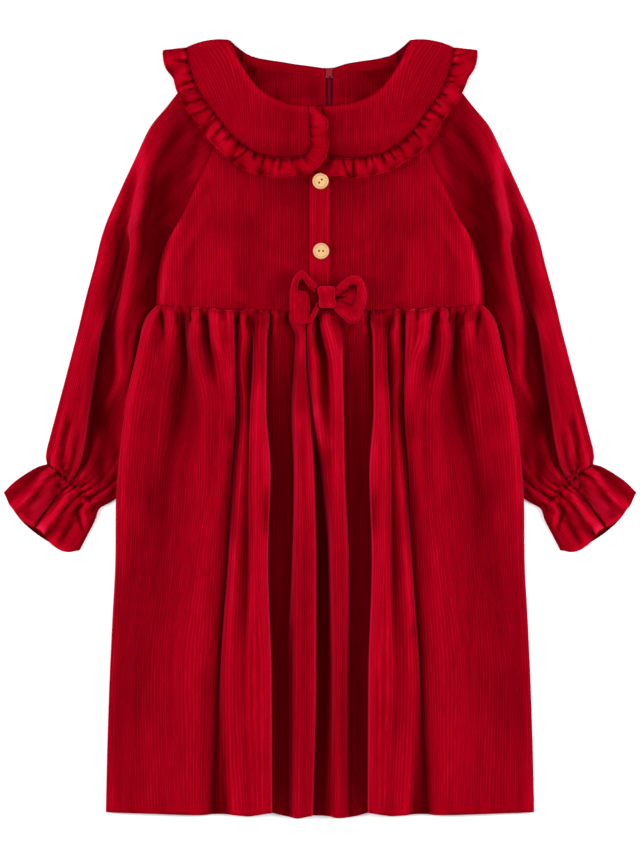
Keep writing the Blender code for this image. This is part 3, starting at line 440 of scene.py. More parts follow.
# Left half of the front, side seam to middle: x of each fold line at the waist and then at each
# level, and its height at each level. The right half mirrors it.
SIDE_FOLDS = rows(
    "name x z",
    ("side_round", (160.5, 162, 167, 172.5, 180.5, 186, 188, 195, 198),
     (9, 9, 8.5, 8, 8, 7.5, 7.5, 7)),
    ("side_ridge", (158, 159, 163, 167.5, 176, 180.5, 182.5, 189.5, 192.5),
     (10.5, 11, 11, 10.5, 10, 9.5, 9, 8.5)),
    ("dimple", (148, 146, 149, 150.5, 158, 165.5, 169.5, 180.5, 182.5),
     (7, 8.5, 9.5, 9.8, 9, 8.8, 8.5, 8.3)),
    ("second_ridge", (138.5, 138.5, 140.5, 143, 149, 153.5, 158, 171, 169.5),
     (11, 10, 9, 8.6, 8.2, 8.2, 8, 8)),
    ("side_trough", (128.5, 126.5, 125.5, 124.5, 129.5, 141.5, 149, 160, 156),
     (4, 4, 4, 5, 7.4, 8, 8.2, 8.5)),
    ("trough_rise", (125, 123.5, 122.5, 120, 119, 128.5, 135, 144, 141.5),
     (6, 7.5, 8, 8, 8.6, 8.8, 9, 9)),
    ("lit_ridge", (116, 116, 118, 115.5, 107, 107, 116, 128.5, 125.5),
     (11.5, 12.5, 12.5, 12.5, 12, 10.5, 10.5, 10)),
    ("notch", (107, 106, 103.5, 101.5, 96.5, 98.5, 107, 115.5, 115.5),
     (4.2, 5, 8, 12, 12, 11.5, 10.5, 10)),
    ("notch_rise", (104, 102.5, 100.5, 96.5, 92, 94, 100.5, 108, 110.5),
     (8, 9.5, 11, 12.5, 12, 10.5, 9.5, 9)),
    ("panel_ridge", (98.5, 98.5, 96, 88.5, 85.5, 89.5, 94, 101.5, 106),
     (12, 13.5, 14, 14, 11.5, 8.5, 8, 7.5)),
    ("panel_edge", (83, 82.5, 81.5, 81.5, 81, 84, 87.5, 95, 102.5),
     (11.5, 13, 13.5, 13.5, 8.5, 5.5, 4.8, 4.6)),
    ("panel_foot", (80, 79.5, 79.5, 78.5, 77.5, 81.5, 86, 93.5, 100),
     (3.5, 3.2, 3, 3, 3.2, 3, 3, 3.2)),
    ("middle_rise", (78, 77.5, 77, 77, 75, 78, 82.8, 89.8, 88),
     (5, 6.5, 7, 7, 7.5, 9.5, 9.8, 6)),
    ("middle_ridge", (72.5, 72.5, 70.5, 72.5, 70, 73.5, 79.5, 84.5, 80),
     (10, 10.5, 10.5, 10, 11.5, 11.5, 12, 11)),
    ("middle_dip", (67, 67, 63, 63, 65, 66.5, 69, 71.5, 67),
     (5, 5.5, 6, 8, 11, 10.5, 13.5, 12)),
    ("crest_rise", (63, 63, 60.5, 60.5, 63, 64.5, 62.8, 66, 61.5),
     (7, 9, 11, 13.5, 15, 16, 15.5, 13)),
    ("crest", (54, 54, 56, 55.5, 57.5, 59.5, 58.5, 52, 53),
     (11, 13.5, 15, 16.5, 17.3, 17.3, 16, 14)),
    ("lip", (49.5, 49.5, 52, 52, 52.2, 48.2, 50.2, 47, 46.5),
     (9.5, 12.5, 14, 15, 15.5, 15.5, 15.5, 13)),
    ("foot", (46.5, 46, 48.5, 49, 49.6, 45.8, 48.2, 44.8, 44.3),
     (4, 3.2, 3, 2.8, 2.8, 2.8, 2.8, 2.8)),
    ("trough", (36.5, 36.5, 38, 37, 37, 37, 38, 38, 37),
     (6.5, 5, 4.2, 3.2, 2.8, 2.8, 2.8, 2.8)),
    ("trough_end", (30, 30, 24, 25, 27.5, 25.2, 26.4, 33, 30),
     (4.2, 4, 3.5, 3.5, 3, 3, 3, 3)),
)
# The two folds in the middle, from the wearer's right to left, which don't mirror.
MIDDLE_FOLDS = rows(
    "name x z",
    ("first_rise", (-26, -26, -20.5, -21.5, -23.6, -22, -23.4, -26, -25.5),
     (9, 8.5, 8.5, 9.5, 11, 11, 7.5, 7.5)),
    ("first_crest", (-23, -23, -16.5, -17.5, -20.8, -19.5, -19.5, -19.5, -20.5),
     (11, 12.5, 13, 14, 14.5, 15, 15, 14)),
    ("first_top", (-16, -16, -14.5, -14.5, -12.5, -8.8, -6.6, -6.6, -9.5),
     (10, 10.5, 11, 11.5, 14.5, 14.5, 14, 12.5)),
    ("first_lap", (-13, -13, -13, -12.5, -8, -4.8, -2.8, -3, -6),
     (5, 3.5, 3, 3.5, 4, 3, 2.8, 2.8)),
    ("gap", (-10.5, -10.5, -10.5, -10, -5.5, 0, 6.5, 4.5, 1),
     (9, 10.5, 10.5, 10.5, 3.4, 2.8, 2.8, 2.8)),
    ("second_rise", (-9.5, -8.5, -8.5, -5.5, -3.4, 4.6, 10.2, 11.8, 8.8),
     (11, 11.5, 12.5, 13, 9, 8, 8, 7)),
    ("inner_fold", (-3, -2.5, -1, 3.5, 4.6, 9.5, 12.2, 13.6, 13),
     (4.2, 4.2, 7.5, 10.5, 12.5, 12.5, 12, 11)),
    ("second_crest", (3.5, 3.5, 8.5, 13, 15, 15, 16, 16.5, 16.5),
     (12, 13.5, 14, 14.5, 15, 15, 14.5, 13)),
    ("second_slope", (12, 12, 16.5, 18.4, 19.6, 20.6, 22.6, 21.6, 21),
     (10, 11, 13, 13.5, 14, 13.6, 12, 11)),
    ("second_foot", (23.5, 23.5, 23, 21.6, 22.4, 23.2, 26.6, 28, 28),
     (5, 4.5, 4.2, 4, 3.6, 3.4, 3.4, 3.4)),
)
HEM_WAVE = rows(
    "x y",
    (-199, -356.8), (-152, -358.3), (-110, -359.4), (-101, -358.7), (-93, -358.3), (-85, -358.6),
    (-76, -359.9), (-68, -360.4), (-46, -357.5), (-34, -360.3), (-21, -362.2), (-7, -360.1),
    (5, -360.2), (18, -362.0), (33, -360.9), (46, -357.3), (58, -359.2), (70, -360.3), (76, -360.0),
    (84, -358.8), (91, -358.4), (100, -358.8), (108, -359.4), (152, -358.4), (199, -356.8),
)
SEAM_SHIFT = 0.4
SIDE_ROLL, SIDE_ROLL_SHARE = 0.6, 0.45
HEM_BAND, HEM_TURN = 5.0, 0.8       # the turned hem, where the wales don't show, and its soft edge
# Short folds that fan out of the waist seam, on the left half; the right half mirrors them.
WAIST_CREASES = strokes(
    (159, 112, 164, 92, 2.2, 1.2, -1), (151, 113, 146, 84, 2.4, -1.6, 2),
    (143, 113, 140, 78, 3.0, 1.6, 1), (137, 113, 132, 92, 2.0, -2.0, 1), (121, 113, 119, 98, 1.8, -3.0),
    (110, 113, 112, 96, 2.4, -2.0), (91, 112, 92, 99, 1.8, -3.2), (86, 112, 84, 70, 2.2, 1.2),
    (75, 111, 76, 96, 1.6, -2.4), (66, 111, 67, 84, 1.8, 1.4), (57, 110, 56, 101, 1.6, -3.4),
    (47, 110, 47, 100, 1.6, -2.4), (40, 110, 42, 84, 2.2, 1.8, -1), (30, 109, 30, 102, 1.6, -2.6),
    (104, 70, 92, -30, 5, 0.9, 4), (146, 70, 138, 20, 7, -0.8, 2), (110, 20, 100, -60, 6, -0.6, 3),
    (92, -40, 110, -220, 7, 0.7, 5), (140, -120, 150, -330, 10, -0.6, 4),
    (176, -140, 184, -340, 8, 0.5, 3), (66, -60, 64, -200, 2.5, 0.5, 1),
    (74, -140, 80, -340, 5, -0.5, -3),
)
# The skirt's soft bands of painted shade, negative where they are painted highlights.
SKIRT_SHADES = strokes(
    (126, 90, 132, -20, 17, 0.36, 2), (132, 10, 158, -150, 22, 0.24), (150, -100, 176, -290, 24, 0.24),
    (172, -220, 178, -370, 24, 0.12), (152, 90, 158, 30, 12, 0.12), (96, -10, 112, -330, 9, 0.16, 5),
    (78, 90, 66, 30, 7, 0.2), (185, -90, 190, -380, 14, 0.16), (18, -30, 17, -390, 10, 0.34),
    (7, -50, 7, -390, 5, 0.15), (153, 60, 160, -10, 9, 0.16), (98, -300, 92, -380, 8, 0.16),
    (87, 108, 85, 50, 6, 0.22), (59, 100, 62, 60, 5, 0.16), (188, -90, 194, -330, 8, 0.10),
    (104, 88, 104, 60, 4, -0.55), (88, -150, 95, -260, 5, 0.14), (54, 112, 55, 38, 7, 0.24),
    (148, 110, 149, 84, 3, -0.75), (104.5, 110, 105, 80, 3.5, -0.5), (64, 90, 64, 56, 3, -0.75),
    (78, 98, 78, 54, 2.5, -0.35), (49, -12, 47, -40, 5, -0.2), (150, -30, 165, -200, 38, 0.08),
    (190, -60, 193, -200, 9, 0.12), (84, 42, 85.5, -105, 6, 0.36), (81, 14, 83, -12, 7, 0.24),
    (103, 60, 101.5, 36, 6, -0.28), (168, -10, 166, -84, 14, 0.14), (149, -36, 151, -108, 12, 0.14),
    (159, 24, 168, -8, 8, 0.14), (87, -176, 87.5, -320, 5, 0.12), (56, 114, 56, 92, 6, 0.42),
    (74, 112, 74, 104, 6, 0.30), (50, -54, 50.2, -100, 3.4, 0.55), (81.5, -60, 79, -108, 5, 0.2),
    (68.5, 8, 68.5, -14, 4, -0.35), (65.5, -28, 65.5, -110, 3.5, 0.24), (56, 56, 54, -356, 9, 0.11),
)
# And those that don't mirror: of the two folds in the middle, and a few at the sides.
MIDDLE_SHADES = strokes(
    (-21, 102, -21, 78, 5, 0.25), (-20, 68, -19, 8, 6.5, 0.44), (-9.5, 100, -9, 28, 2.5, 0.22),
    (2, 24, 8, -18, 4.5, -0.6), (4, -110, 4, -352, 6, -0.55), (20, 40, 21, -70, 3, 0.10),
    (141.4, 112, 141.4, 98, 4, 0.4), (-16, 8, -16, -38, 4, 0.2), (-6.5, 22, -6, 6, 4, -0.5),
    (21.4, 100, 21.4, 90, 4, 0.4), (87.4, -180, 87.4, -196, 3.5, 0.3),
    (-87.4, -304, -87.4, -320, 3.5, 0.25), (6, -20, 6, -38, 5, 0.2), (16, 24, 16, -28, 4, 0.12),
    (140, 80, 140, 58, 6, 0.2),
)


def skirt_side(y):
    return read(SKIRT_SIDE, "y", "half", y)


def hem_line(x):
    return read(HEM_WAVE, "x", "y", x)


def fold_lines():
    """Every fold line of the front skirt, wearer's right to left: its x's and its heights."""
    right = [([-x for x in f.x], f.z) for f in SIDE_FOLDS]
    return right + [(f.x, f.z) for f in MIDDLE_FOLDS] + [(f.x, f.z) for f in SIDE_FOLDS[::-1]]


def side_edge(fold, side):
    """The two lines that roll the skirt's front over to its side seam, next to its last fold."""
    y = fold[:, 1]
    x = side * skirt_side(y)
    low = bed(x, y) + PLY
    roll = np.stack([x - side * SIDE_ROLL, y, low + SIDE_ROLL_SHARE * (fold[:, 2] - low)], axis=-1)
    return [np.stack([x, y, low], axis=-1), roll]


FOLDS_APART = 0.2        # the least between fold lines that crowd together at the side
SIDE_INSET, SIDE_INSET_Y = 2.2, (70, 100)     # and how much more it is near the waist
SKIRT_ROWS, SKIRT_STEP = 132, 1.9
ROWS_CROWD = 1.25        # the rows lie closer together towards the waist
SEAM_SHARE = 0.05        # share of the skirt that lies as low as the seam
CALM_SIDE = (2, 10)      # distances from the side over which the small folds start
WAIST_PUFFS = ((31, 8.0, 12.0, 1.5), (32, 4.6, 6.0, 1.3))
PUFFS_UP, PUFFS_DOWN, PUFFS_REACH = 0.9, 0.5, (6, 0.5)   # the gathers' wavy line at the seam
SEAM_SINKS = ((0.9, 3.4), (1.2, 1.6))     # how deep the seam sinks in, and over which distance
SKIRT_UNEVEN = ((0.5, 33, 16, 120), (0.25, 34, 6, 45))
BACK_ROWS, BACK_SKIRT_COLUMNS = 60, 61


def skirt_lines():
    """The fold lines as rows of points, with the two at each side that roll over to the seam."""
    share = np.linspace(0, 1, SKIRT_ROWS) ** ROWS_CROWD
    lines, folds = [], fold_lines()
    for k, (xs, zs) in enumerate(folds):
        top, low = waist_seam(xs[0]) - SEAM_SHIFT, hem_line(xs[-1])
        y = top + (low - top) * share
        levels = (top, *SKIRT_LEVELS[:-1], low)
        x = follow(levels, xs, y)
        inset = (FOLDS_APART + SIDE_INSET * smooth(*SIDE_INSET_Y, y)) * (1 + min(k, len(folds) - 1 - k))
        x = np.sign(x) * np.minimum(np.abs(x), skirt_side(y) - inset)
        z = follow(levels, (front_height(xs[0], top), *zs), y)
        z = z + LOFT_SHARE * bed(x, y) * smooth(0.0, SEAM_SHARE, share)
        lines.append(np.stack([x, y, z], axis=-1))
    return np.stack(side_edge(lines[0], -1) + lines + side_edge(lines[-1], 1)[::-1], axis=0)


def front_skirt():
    lines = skirt_lines()
    places = spaced(lengths_of(lines[:, SKIRT_ROWS // 2]), SKIRT_STEP)
    points = follow(range(len(lines)), lines, places).swapaxes(0, 1)
    grain = reached(lengths_of(points[SKIRT_ROWS // 2]))
    grain = grain - grain[-1] / 2
    x, y = points[..., 0], points[..., 1]
    down = np.maximum(waist_seam(x) - y, 0)
    calm_edge = smooth(*CALM_SIDE, skirt_side(y) - np.abs(x))
    puffs = sum(gathered(x, down, *p) for p in WAIST_PUFFS)
    extra = creased(x, y, mirrored(WAIST_CREASES)) + puffs + uneven(grain[None, :], y, SKIRT_UNEVEN)
    points[..., 2] += extra * calm_edge
    points[..., 2] -= sum(deep * smooth(reach, 0, down) for deep, reach in SEAM_SINKS)
    points[..., 1] += (PUFFS_UP * puffs - PUFFS_DOWN) * smooth(*PUFFS_REACH, down) * calm_edge
    plain = smooth(HEM_BAND, HEM_BAND - HEM_TURN, y - y[-1:])
    shade = creased(x, y, mirrored(SKIRT_SHADES) + MIDDLE_SHADES)
    lay("front_skirt", points, grain[None, :], y, plain, shade=shade)


def back_skirt():
    share = np.linspace(0, 1, BACK_ROWS)[:, None]
    across = np.linspace(-1, 1, BACK_SKIRT_COLUMNS)[None, :]
    top = waist_seam(across * BODICE_EDGE[0].half) - SEAM_SHIFT
    low = hem_line(across * SKIRT_SIDE[-1].half)
    y = top + (low - top) * share
    x = across * skirt_side(y)
    z = bed(x, y) + TABLE
    lay("back_skirt", np.stack([x, y, z], axis=-1), x, y, smooth(HEM_BAND, HEM_BAND - 1, y - y[-1:]))


# ---- sleeves ----
SLEEVE_SECTIONS = rows(
    "fold_x fold_y seam_x seam_y back_x back_y bulge inner",
    (79.6, 350.0, 66.2, 325.2, 61.0, 345.8, 0, 0), (101, 342, 74.4, 311.6, 68.6, 328.0, 0, 0),
    (117, 328.5, 83.2, 296.6, 75.6, 313.0, 0, 0), (130, 314, 92.2, 277.6, 82.4, 298.0, 0, 0),
    (142.5, 298.5, 100.9, 259.6, 91.4, 279.0, 0, 0), (157, 281, 108.9, 242.6, 99.2, 261.0, 0, 0),
    (172, 250, 117.4, 222.8, 107.0, 244.0, 0, 0), (185, 222, 128.6, 198.8, 129.2, 200.8, 0, 0),
    (199.6, 188, 140.6, 180.6, 140.6, 180.6, 0, 5.3), (204.4, 172, 147.2, 170, 147.2, 170, 0, 2.6),
    (208.4, 155, 146.2, 156, 146.2, 156, 0, 1.6), (217.8, 120, 148.2, 124, 148.2, 124, 0, 1.6),
    (224.7, 91, 151.6, 92, 151.6, 92, 0, 1.6), (234.1, 55, 158.5, 50, 158.5, 50, 0, 1.6),
    (242.8, 22, 164, 8, 164, 8, 0, 1.6), (250.5, -7, 167.5, -22, 167.5, -22, 0, 1.6),
    (253.8, -20, 174, -46, 174, -46, 2, 1.7), (254.6, -27, 191.5, -66, 191.5, -66, 2, 1.6),
    (253.5, -33, 206, -75, 206, -75, 0, 3.2), (262, -36, 209.5, -85, 209.5, -85, 3, 2.8),
    (284, -50, 216.5, -99, 216.5, -99, 8, 2.4), (294, -60, 224, -113.5, 224, -113.5, 12.5, 2.2),
)
UNDERARM_ROW, ELBOW_ROW, WRIST_ROW = 8, 12, 18
ARM_STATIONS = (0, 6.4, 7, 9, 11, 12, 13, 14, 15, 18, 21)
# Fold lines of the top of the sleeve, inner edge to outer: where across the section each runs
# at the stations (1 at the seam, 0 at the outer fold), and its height there.
SLEEVE_FOLDS = rows(
    "name a z",
    ("inner_flat", (0.96, 0.96, 0.96, 0.95, 0.95, 0.95, 0.95, 0.95, 0.95, 0.93, 0.95),
     (6, 5, 4, 2.7, 2.7, 2.7, 2.7, 2.7, 2.7, 4.6, 4)),
    ("under_body", (0.85, 0.84, 0.86, 0.84, 0.84, 0.80, 0.80, 0.80, 0.80, 0.80, 0.84),
     (6, 4, 3.4, 3, 2.6, 3.0, 3.4, 3.6, 3.6, 6, 6)),
    ("inner_shade", (0.70, 0.60, 0.68, 0.76, 0.76, 0.70, 0.74, 0.67, 0.67, 0.68, 0.72),
     (6, 4.6, 4.2, 3.8, 3.6, 6, 6.5, 4.0, 4.4, 7.5, 6.6)),
    ("ridge_slope", (0.58, 0.34, 0.48, 0.60, 0.62, 0.60, 0.69, 0.60, 0.60, 0.60, 0.62),
     (6, 7, 6.6, 6.4, 7, 7.6, 7.6, 3.8, 5, 6.6, 6.8)),
    ("inner_ridge", (0.42, 0.16, 0.27, 0.46, 0.49, 0.52, 0.64, 0.55, 0.53, 0.53, 0.57),
     (5.9, 9.6, 12.0, 11.4, 10.4, 9.4, 8.2, 4.2, 5.6, 6, 13)),
    ("ridge_rise", (0.36, 0.10, 0.21, 0.415, 0.44, 0.425, 0.53, 0.50, 0.48, 0.48, 0.53),
     (5.9, 9.2, 9.8, 7.0, 6, 3.8, 3.8, 3.6, 4.6, 5.4, 12)),
    ("trough", (0.28, 0.07, 0.14, 0.34, 0.38, 0.305, 0.35, 0.37, 0.39, 0.44, 0.475),
     (5.8, 8.8, 7.8, 4.6, 3.8, 3.4, 3.4, 3.4, 3.4, 6, 5)),
    ("trough_lip", (0.24, 0.055, 0.11, 0.25, 0.30, 0.255, 0.30, 0.325, 0.355, 0.38, 0.44),
     (5.8, 8.5, 7.2, 5.0, 5.0, 9.0, 10, 10, 10, 8.6, 9)),
    ("outer_ridge", (0.18, 0.045, 0.075, 0.15, 0.16, 0.16, 0.18, 0.20, 0.21, 0.26, 0.24),
     (5.7, 8.2, 7.2, 6.4, 7.2, 9.8, 10.4, 10.4, 10, 7, 9.6)),
    ("outer_round", (0.09, 0.034, 0.05, 0.07, 0.08, 0.07, 0.08, 0.09, 0.09, 0.14, 0.17),
     (5.6, 7.6, 7.0, 7.4, 8.0, 9, 9, 9, 9, 8.4, 11)),
    ("edge_round", (0.025, 0.018, 0.02, 0.025, 0.03, 0.025, 0.025, 0.03, 0.03, 0.05, 0.11),
     (4.9, 5.8, 5.6, 6, 6.2, 6.2, 6.2, 6.2, 6.2, 6, 7)),
)
# How far the sleeve's inner edge is tucked under the body, and how much lower it is there.
SLEEVE_TUCK = rows(
    "row in_by down_by",
    (0, 1.6, 1.4), (6, 1.8, 1.6), (7, 2.2, 2.0), (8, 3.5, 3.6), (9, 9.0, 1.0), (10, 5.5, 0.0),
    (11, 3.0, 0.0), (13, 0.0, 0.0), (21, 0.0, 0.0),
)
# At the flounce's hem the top layer lies a little shorter than the one under it: by how much, and
# at which share across and how widely.
FLOUNCE_STEP, FLOUNCE_STEP_AT = 5.4, (0.54, 0.12)
FLOUNCE_CORNER, FLOUNCE_CORNER_AT = 3.2, (0.88, 0.13)
FLOUNCE_UNEVEN, FLOUNCE_REACH = ((1.2, 46, 9, 1),), (26, 0)
FLOUNCE_OUTER, FLOUNCE_INNER = (0, 0.08), (1, 0.92)
FLOUNCE_WAY = (0.6, -0.8)
SLEEVE_BACK_COLUMNS = (0.03, 0.3, 0.7, 0.95)
EDGE_MIDDLE, EDGE_UNDER, HARD_FOLD = 3.4, 0.4, 1.0
INNER_MOST, INNER_LEAST = 3.8, 1.3
TO_SEAM, TO_BACK_SEAM = (0.6, 1.0), (0.75, 1.0)
OUTER_FOLD, MEASURED_AT = 12, 10     # points of a section: the outer fold, and where it's measured
TOP_ENDS = (12.6, 11.6)  # points of a section between which the top layer gives way to the under one
SLEEVE_STEP, SLEEVE_ROW_STEP, WRIST_ROW_STEP, WRIST_ROWS = 2.0, 3.0, 1.3, 3
SLEEVE_WIDTH = 88.0      # the cut, folded in two, from the elbow to the cuff
SLEEVE_EASE = 1.15       # the cut above the elbow, against what lies there
GRAIN_LEAN, GRAIN_LEAN_AT = 0.25, (0.22, 0.5)     # the wales lean outwards on the inner half
WRIST_GATHERS = (41, 5.4, 17.0, 2.9)
WRIST_SINKS, WRIST_SINKS_OVER = 1.2, (12, 0)
WRIST_CRUSH, WRIST_CRUSH_OVER = ((2.6, 42, 4.2, 4.6),), (10, 1.5)
ELASTIC, ELASTIC_UNEVEN, ELASTIC_WIDTH = 1.5, ((0.9, 45, 6, 1),), 1.9
SLEEVE_UNEVEN = ((0.5, 43, 15, 60), (0.25, 44, 6, 24))
CALM_INNER, CALM_OUTER = (1.0, 0.86), (0.0, 0.1)  # shares across over which the creases start
SLEEVE_HEM = (4.5, 3.7)
INSIDE_SHADE, INSIDE_SHADE_OVER = 0.62, (18, 4)   # painted shade on the flounce's under layer, where it looks out
SLEEVE_DARKEST = 0.85
# Creases on the wearer's left sleeve; the right one mirrors them.
SLEEVE_CREASES = strokes(
    (120, 300, 160, 226, 9, 0.9, 6), (112, 282, 134, 226, 6, -0.8, 4), (176, 150, 200, 40, 6, 0.5, 4),
    (206, 100, 222, 20, 3.4, -0.35, 3), (214, 60, 232, -20, 3.0, 0.8, 2),
    (234, 14, 243.5, -34, 2.4, -2.3, 1), (232, 0, 245, -28, 2.2, 1.6), (237, -2, 243.5, -30, 2.0, -2.4),
    (216, 12, 230, -36, 2.8, 1.0, 2), (226, -16, 236, -44, 2.0, -1.6), (216, -8, 224, -52, 2.4, 1.4, 1),
    (196, -10, 210, -66, 4, 1.2, 4), (186, -40, 209, -76, 3, -1.3, 5),
    (202, -40, 214, -68, 2.4, -1.6, 2), (176, -52, 202, -82, 3, 1.2, 3),
    (222, -74, 214, -104, 2.4, 1.5), (228, -70, 220, -98, 2.2, -1.8), (248, -33, 279, -73, 2.8, 2.4),
    (244, -44, 271, -84, 6.0, 2.0), (239, -47, 262, -91, 2.1, -1.9), (229, -52, 256, -98, 3.0, 2.8),
    (221, -66, 242, -108, 4.5, -2.2), (216, -82, 228, -112, 4.0, 1.2, 2),
    (163, 258, 179, 160, 5.5, 1.7),
)
# The sleeve's soft bands of painted shade, negative where they are painted highlights.
SLEEVE_SHADES = strokes(
    (128, 290, 150, 190, 15, 0.62, -3), (148, 214, 160, 90, 15, 0.72, 2),
    (185, 200, 188, 132, 6, 0.25, -2), (189, 150, 204, 60, 6, 0.3), (205, 80, 205, -10, 9, 0.62, -3),
    (200, 34, 202, -70, 11, 0.55), (136, 306, 130, 270, 10, 0.3), (146, 300, 172, 250, 8, 0.12),
    (260, -40, 288, -66, 6, 0.42), (216, -90, 238, -120, 12, 0.18), (119, 234, 134, 192, 11, 0.38),
    (220, -66, 240, -106, 6, 0.25), (176, -40, 200, -80, 10, 0.35), (172, 92, 183, 10, 4, -1.5),
    (185, 14, 188, -70, 4, -1.3), (192, 200, 200, 120, 6, 0.26), (204, 140, 212, 104, 7, 0.2),
    (212, 100, 222, 60, 7, 0.12), (188, 90, 194, 30, 6, 0.15), (160, 262, 165, 178, 8, -0.24),
    (166, 268, 174, 196, 5, -0.32), (189, 204, 190, 168, 6, -0.14), (187, 104, 184, 62, 5, 0.12),
    (178, 98, 178, 68, 4, 0.16), (253, -42, 262, -60, 5, -0.5), (191, -28, 190, -62, 6, -0.8),
    (230, 20, 224, -14, 5, 0.12), (118, 284, 106, 252, 9, -0.32), (163, 114, 170, 88, 3, -0.6),
    (212, -8, 210, -42, 5, 0.22), (156, 232, 156, 196, 7, -0.2), (254, -18, 255, -36, 5, -0.7),
    (196, -56, 194, -70, 6, -0.9), (113.5, 284, 113, 262, 6, -1.0), (276, -66, 264, -76, 7, -0.85),
    (266, -90, 252, -104, 6, -1.2), (206, -22, 203, -52, 7, 0.2), (266, -64, 224, -110, 24, -0.2),
    (239, 66, 240, 30, 5, -0.35), (177, 218, 179, 184, 10, -0.28), (242, -34, 243, -46, 4, -0.3),
    (164, 212, 183, 166, 9, -0.2), (227, 84, 233, 58, 7, -0.24), (189, -86, 190, -102, 9, 0.4),
    (270, -92, 256, -101, 5, -0.8), (241, -90, 238, -95, 5, 0.35), (195, -60, 193, -68, 5, -0.5),
    (158, 222, 159, 208, 8, -0.2), (290, -46, 281, -58, 8, -0.34),
)


def sleeve_section(i, s):
    """Shares across, heights and far end of one section: the top from the inner edge, then under."""
    fold, seam, back = (np.array(p) for p in (s[0:2], s[2:4], s[4:6]))
    joined = i >= UNDERARM_ROW
    top_z = s.inner if joined else front_height(*seam) - over_collar(*seam)
    in_by, down_by = (float(read(SLEEVE_TUCK, "row", c, i)) for c in ("in_by", "down_by"))
    seam = seam + in_by * unit(seam - fold)
    top_z -= down_by
    points = [(seam, 1.0, top_z)]
    for f in SLEEVE_FOLDS:
        share, z = float(follow(ARM_STATIONS, f.a, i)), float(follow(ARM_STATIONS, f.z, i))
        if f.name == "inner_flat" and s.inner:
            z = min(s.inner + HARD_FOLD, INNER_MOST)
        if not joined:
            under = over_collar(*(fold + (seam - fold) * share))
            z += (top_z - z) * smooth(*TO_SEAM, share) - under * (1 - LOFT_SHARE)
        points.append((seam, share, z))
    points.append((seam, 0.0, EDGE_MIDDLE))
    raised = 0.0 if joined else over_sleeve(*back)
    under = [TABLE + raised * smooth(*TO_BACK_SEAM, c) for c in SLEEVE_BACK_COLUMNS]
    under[0] += EDGE_UNDER
    if joined:
        under[-1] = min(max(TABLE, s.inner - HARD_FOLD), INNER_LEAST)
    points += [(back, c, z) for c, z in zip(SLEEVE_BACK_COLUMNS, under)]
    points.append((back, 1.0, top_z if joined else TABLE + raised))
    return fold, points


def sleeve_grid():
    """The sections of the left sleeve as rows of points, and each point's share across."""
    grid, shares = [], []
    for i, s in enumerate(SLEEVE_SECTIONS):
        fold, points = sleeve_section(i, s)
        across = unit(np.array(s[2:4]) - fold)
        ahead = np.array((-across[1], across[0])) * s.bulge
        line = []
        for end, share, z in points:
            x, y = fold + (end - fold) * share + ahead * arch(share)
            line.append((x, y, z + over_collar(x, y)))
        grid.append(line)
        shares.append([[share] for _, share, _ in points])
    return np.array(grid), np.array(shares)


def sleeve_hem(share, width, end, on_top):
    """How far the flounce's hem steps back."""
    step = FLOUNCE_STEP * swell(share, *FLOUNCE_STEP_AT) + uneven(share * width, 0, FLOUNCE_UNEVEN)
    step = step * on_top - FLOUNCE_CORNER * swell(share, *FLOUNCE_CORNER_AT)
    fade = smooth(*FLOUNCE_OUTER, share) * smooth(*FLOUNCE_INNER, share)
    return step * smooth(*FLOUNCE_REACH, end) * fade


def sleeve(name, side):
    grid, shares = sleeve_grid()
    spots = np.arange(len(grid))
    row_lengths = lengths_of(grid[:, MEASURED_AT, :2])
    near_wrist = np.abs(spots[:-1] - WRIST_ROW) < WRIST_ROWS
    rows_at = spaced(row_lengths, np.where(near_wrist, WRIST_ROW_STEP, SLEEVE_ROW_STEP))
    columns_at = spaced(lengths_of(grid[ELBOW_ROW]), SLEEVE_STEP, least=3)
    points = drawn_through(grid, rows_at, columns_at)
    share = drawn_through(shares, rows_at, columns_at)[..., 0]
    reach = np.interp(rows_at, spots, reached(row_lengths))[:, None]
    lying = SLEEVE_EASE * np.linalg.norm(grid[:, 0, :2] - grid[:, OUTER_FOLD, :2], axis=-1)
    width = np.interp(rows_at, spots, np.minimum(SLEEVE_WIDTH, lying))
    width = np.where(rows_at > ELBOW_ROW, SLEEVE_WIDTH, width)[:, None]
    grain = share * width + GRAIN_LEAN * smooth(*GRAIN_LEAN_AT, share) * reach
    x, y = points[..., 0], points[..., 1]
    on_top = smooth(*TOP_ENDS, columns_at)[None, :]
    from_wrist = np.abs(reach - np.interp(WRIST_ROW, rows_at, reach[:, 0]))
    extra = creased(x, y, SLEEVE_CREASES) + gathered(grain, from_wrist, *WRIST_GATHERS)
    extra = extra - WRIST_SINKS * smooth(*WRIST_SINKS_OVER, from_wrist)
    extra = extra + uneven(grain, reach, WRIST_CRUSH) * smooth(*WRIST_CRUSH_OVER, from_wrist)
    extra = extra + uneven(grain, reach, SLEEVE_UNEVEN)
    elastic = (ELASTIC + uneven(grain, 0, ELASTIC_UNEVEN)) * swell(from_wrist, 0, ELASTIC_WIDTH)
    calm = smooth(*CALM_INNER, share) * smooth(*CALM_OUTER, share)
    points[..., 2] += (extra - elastic) * on_top * calm
    end = reach[-1] - reach
    step_back = sleeve_hem(share, width, end, on_top)
    points[..., 0] -= step_back * FLOUNCE_WAY[0]
    points[..., 1] -= step_back * FLOUNCE_WAY[1]
    shade = np.minimum(creased(x, y, SLEEVE_SHADES), SLEEVE_DARKEST) * on_top
    shade = shade + INSIDE_SHADE * smooth(*INSIDE_SHADE_OVER, end) * (1 - on_top)
    points[..., 0] *= side
    lay(name, points, grain, reach, smooth(*SLEEVE_HEM, end), shade=shade)


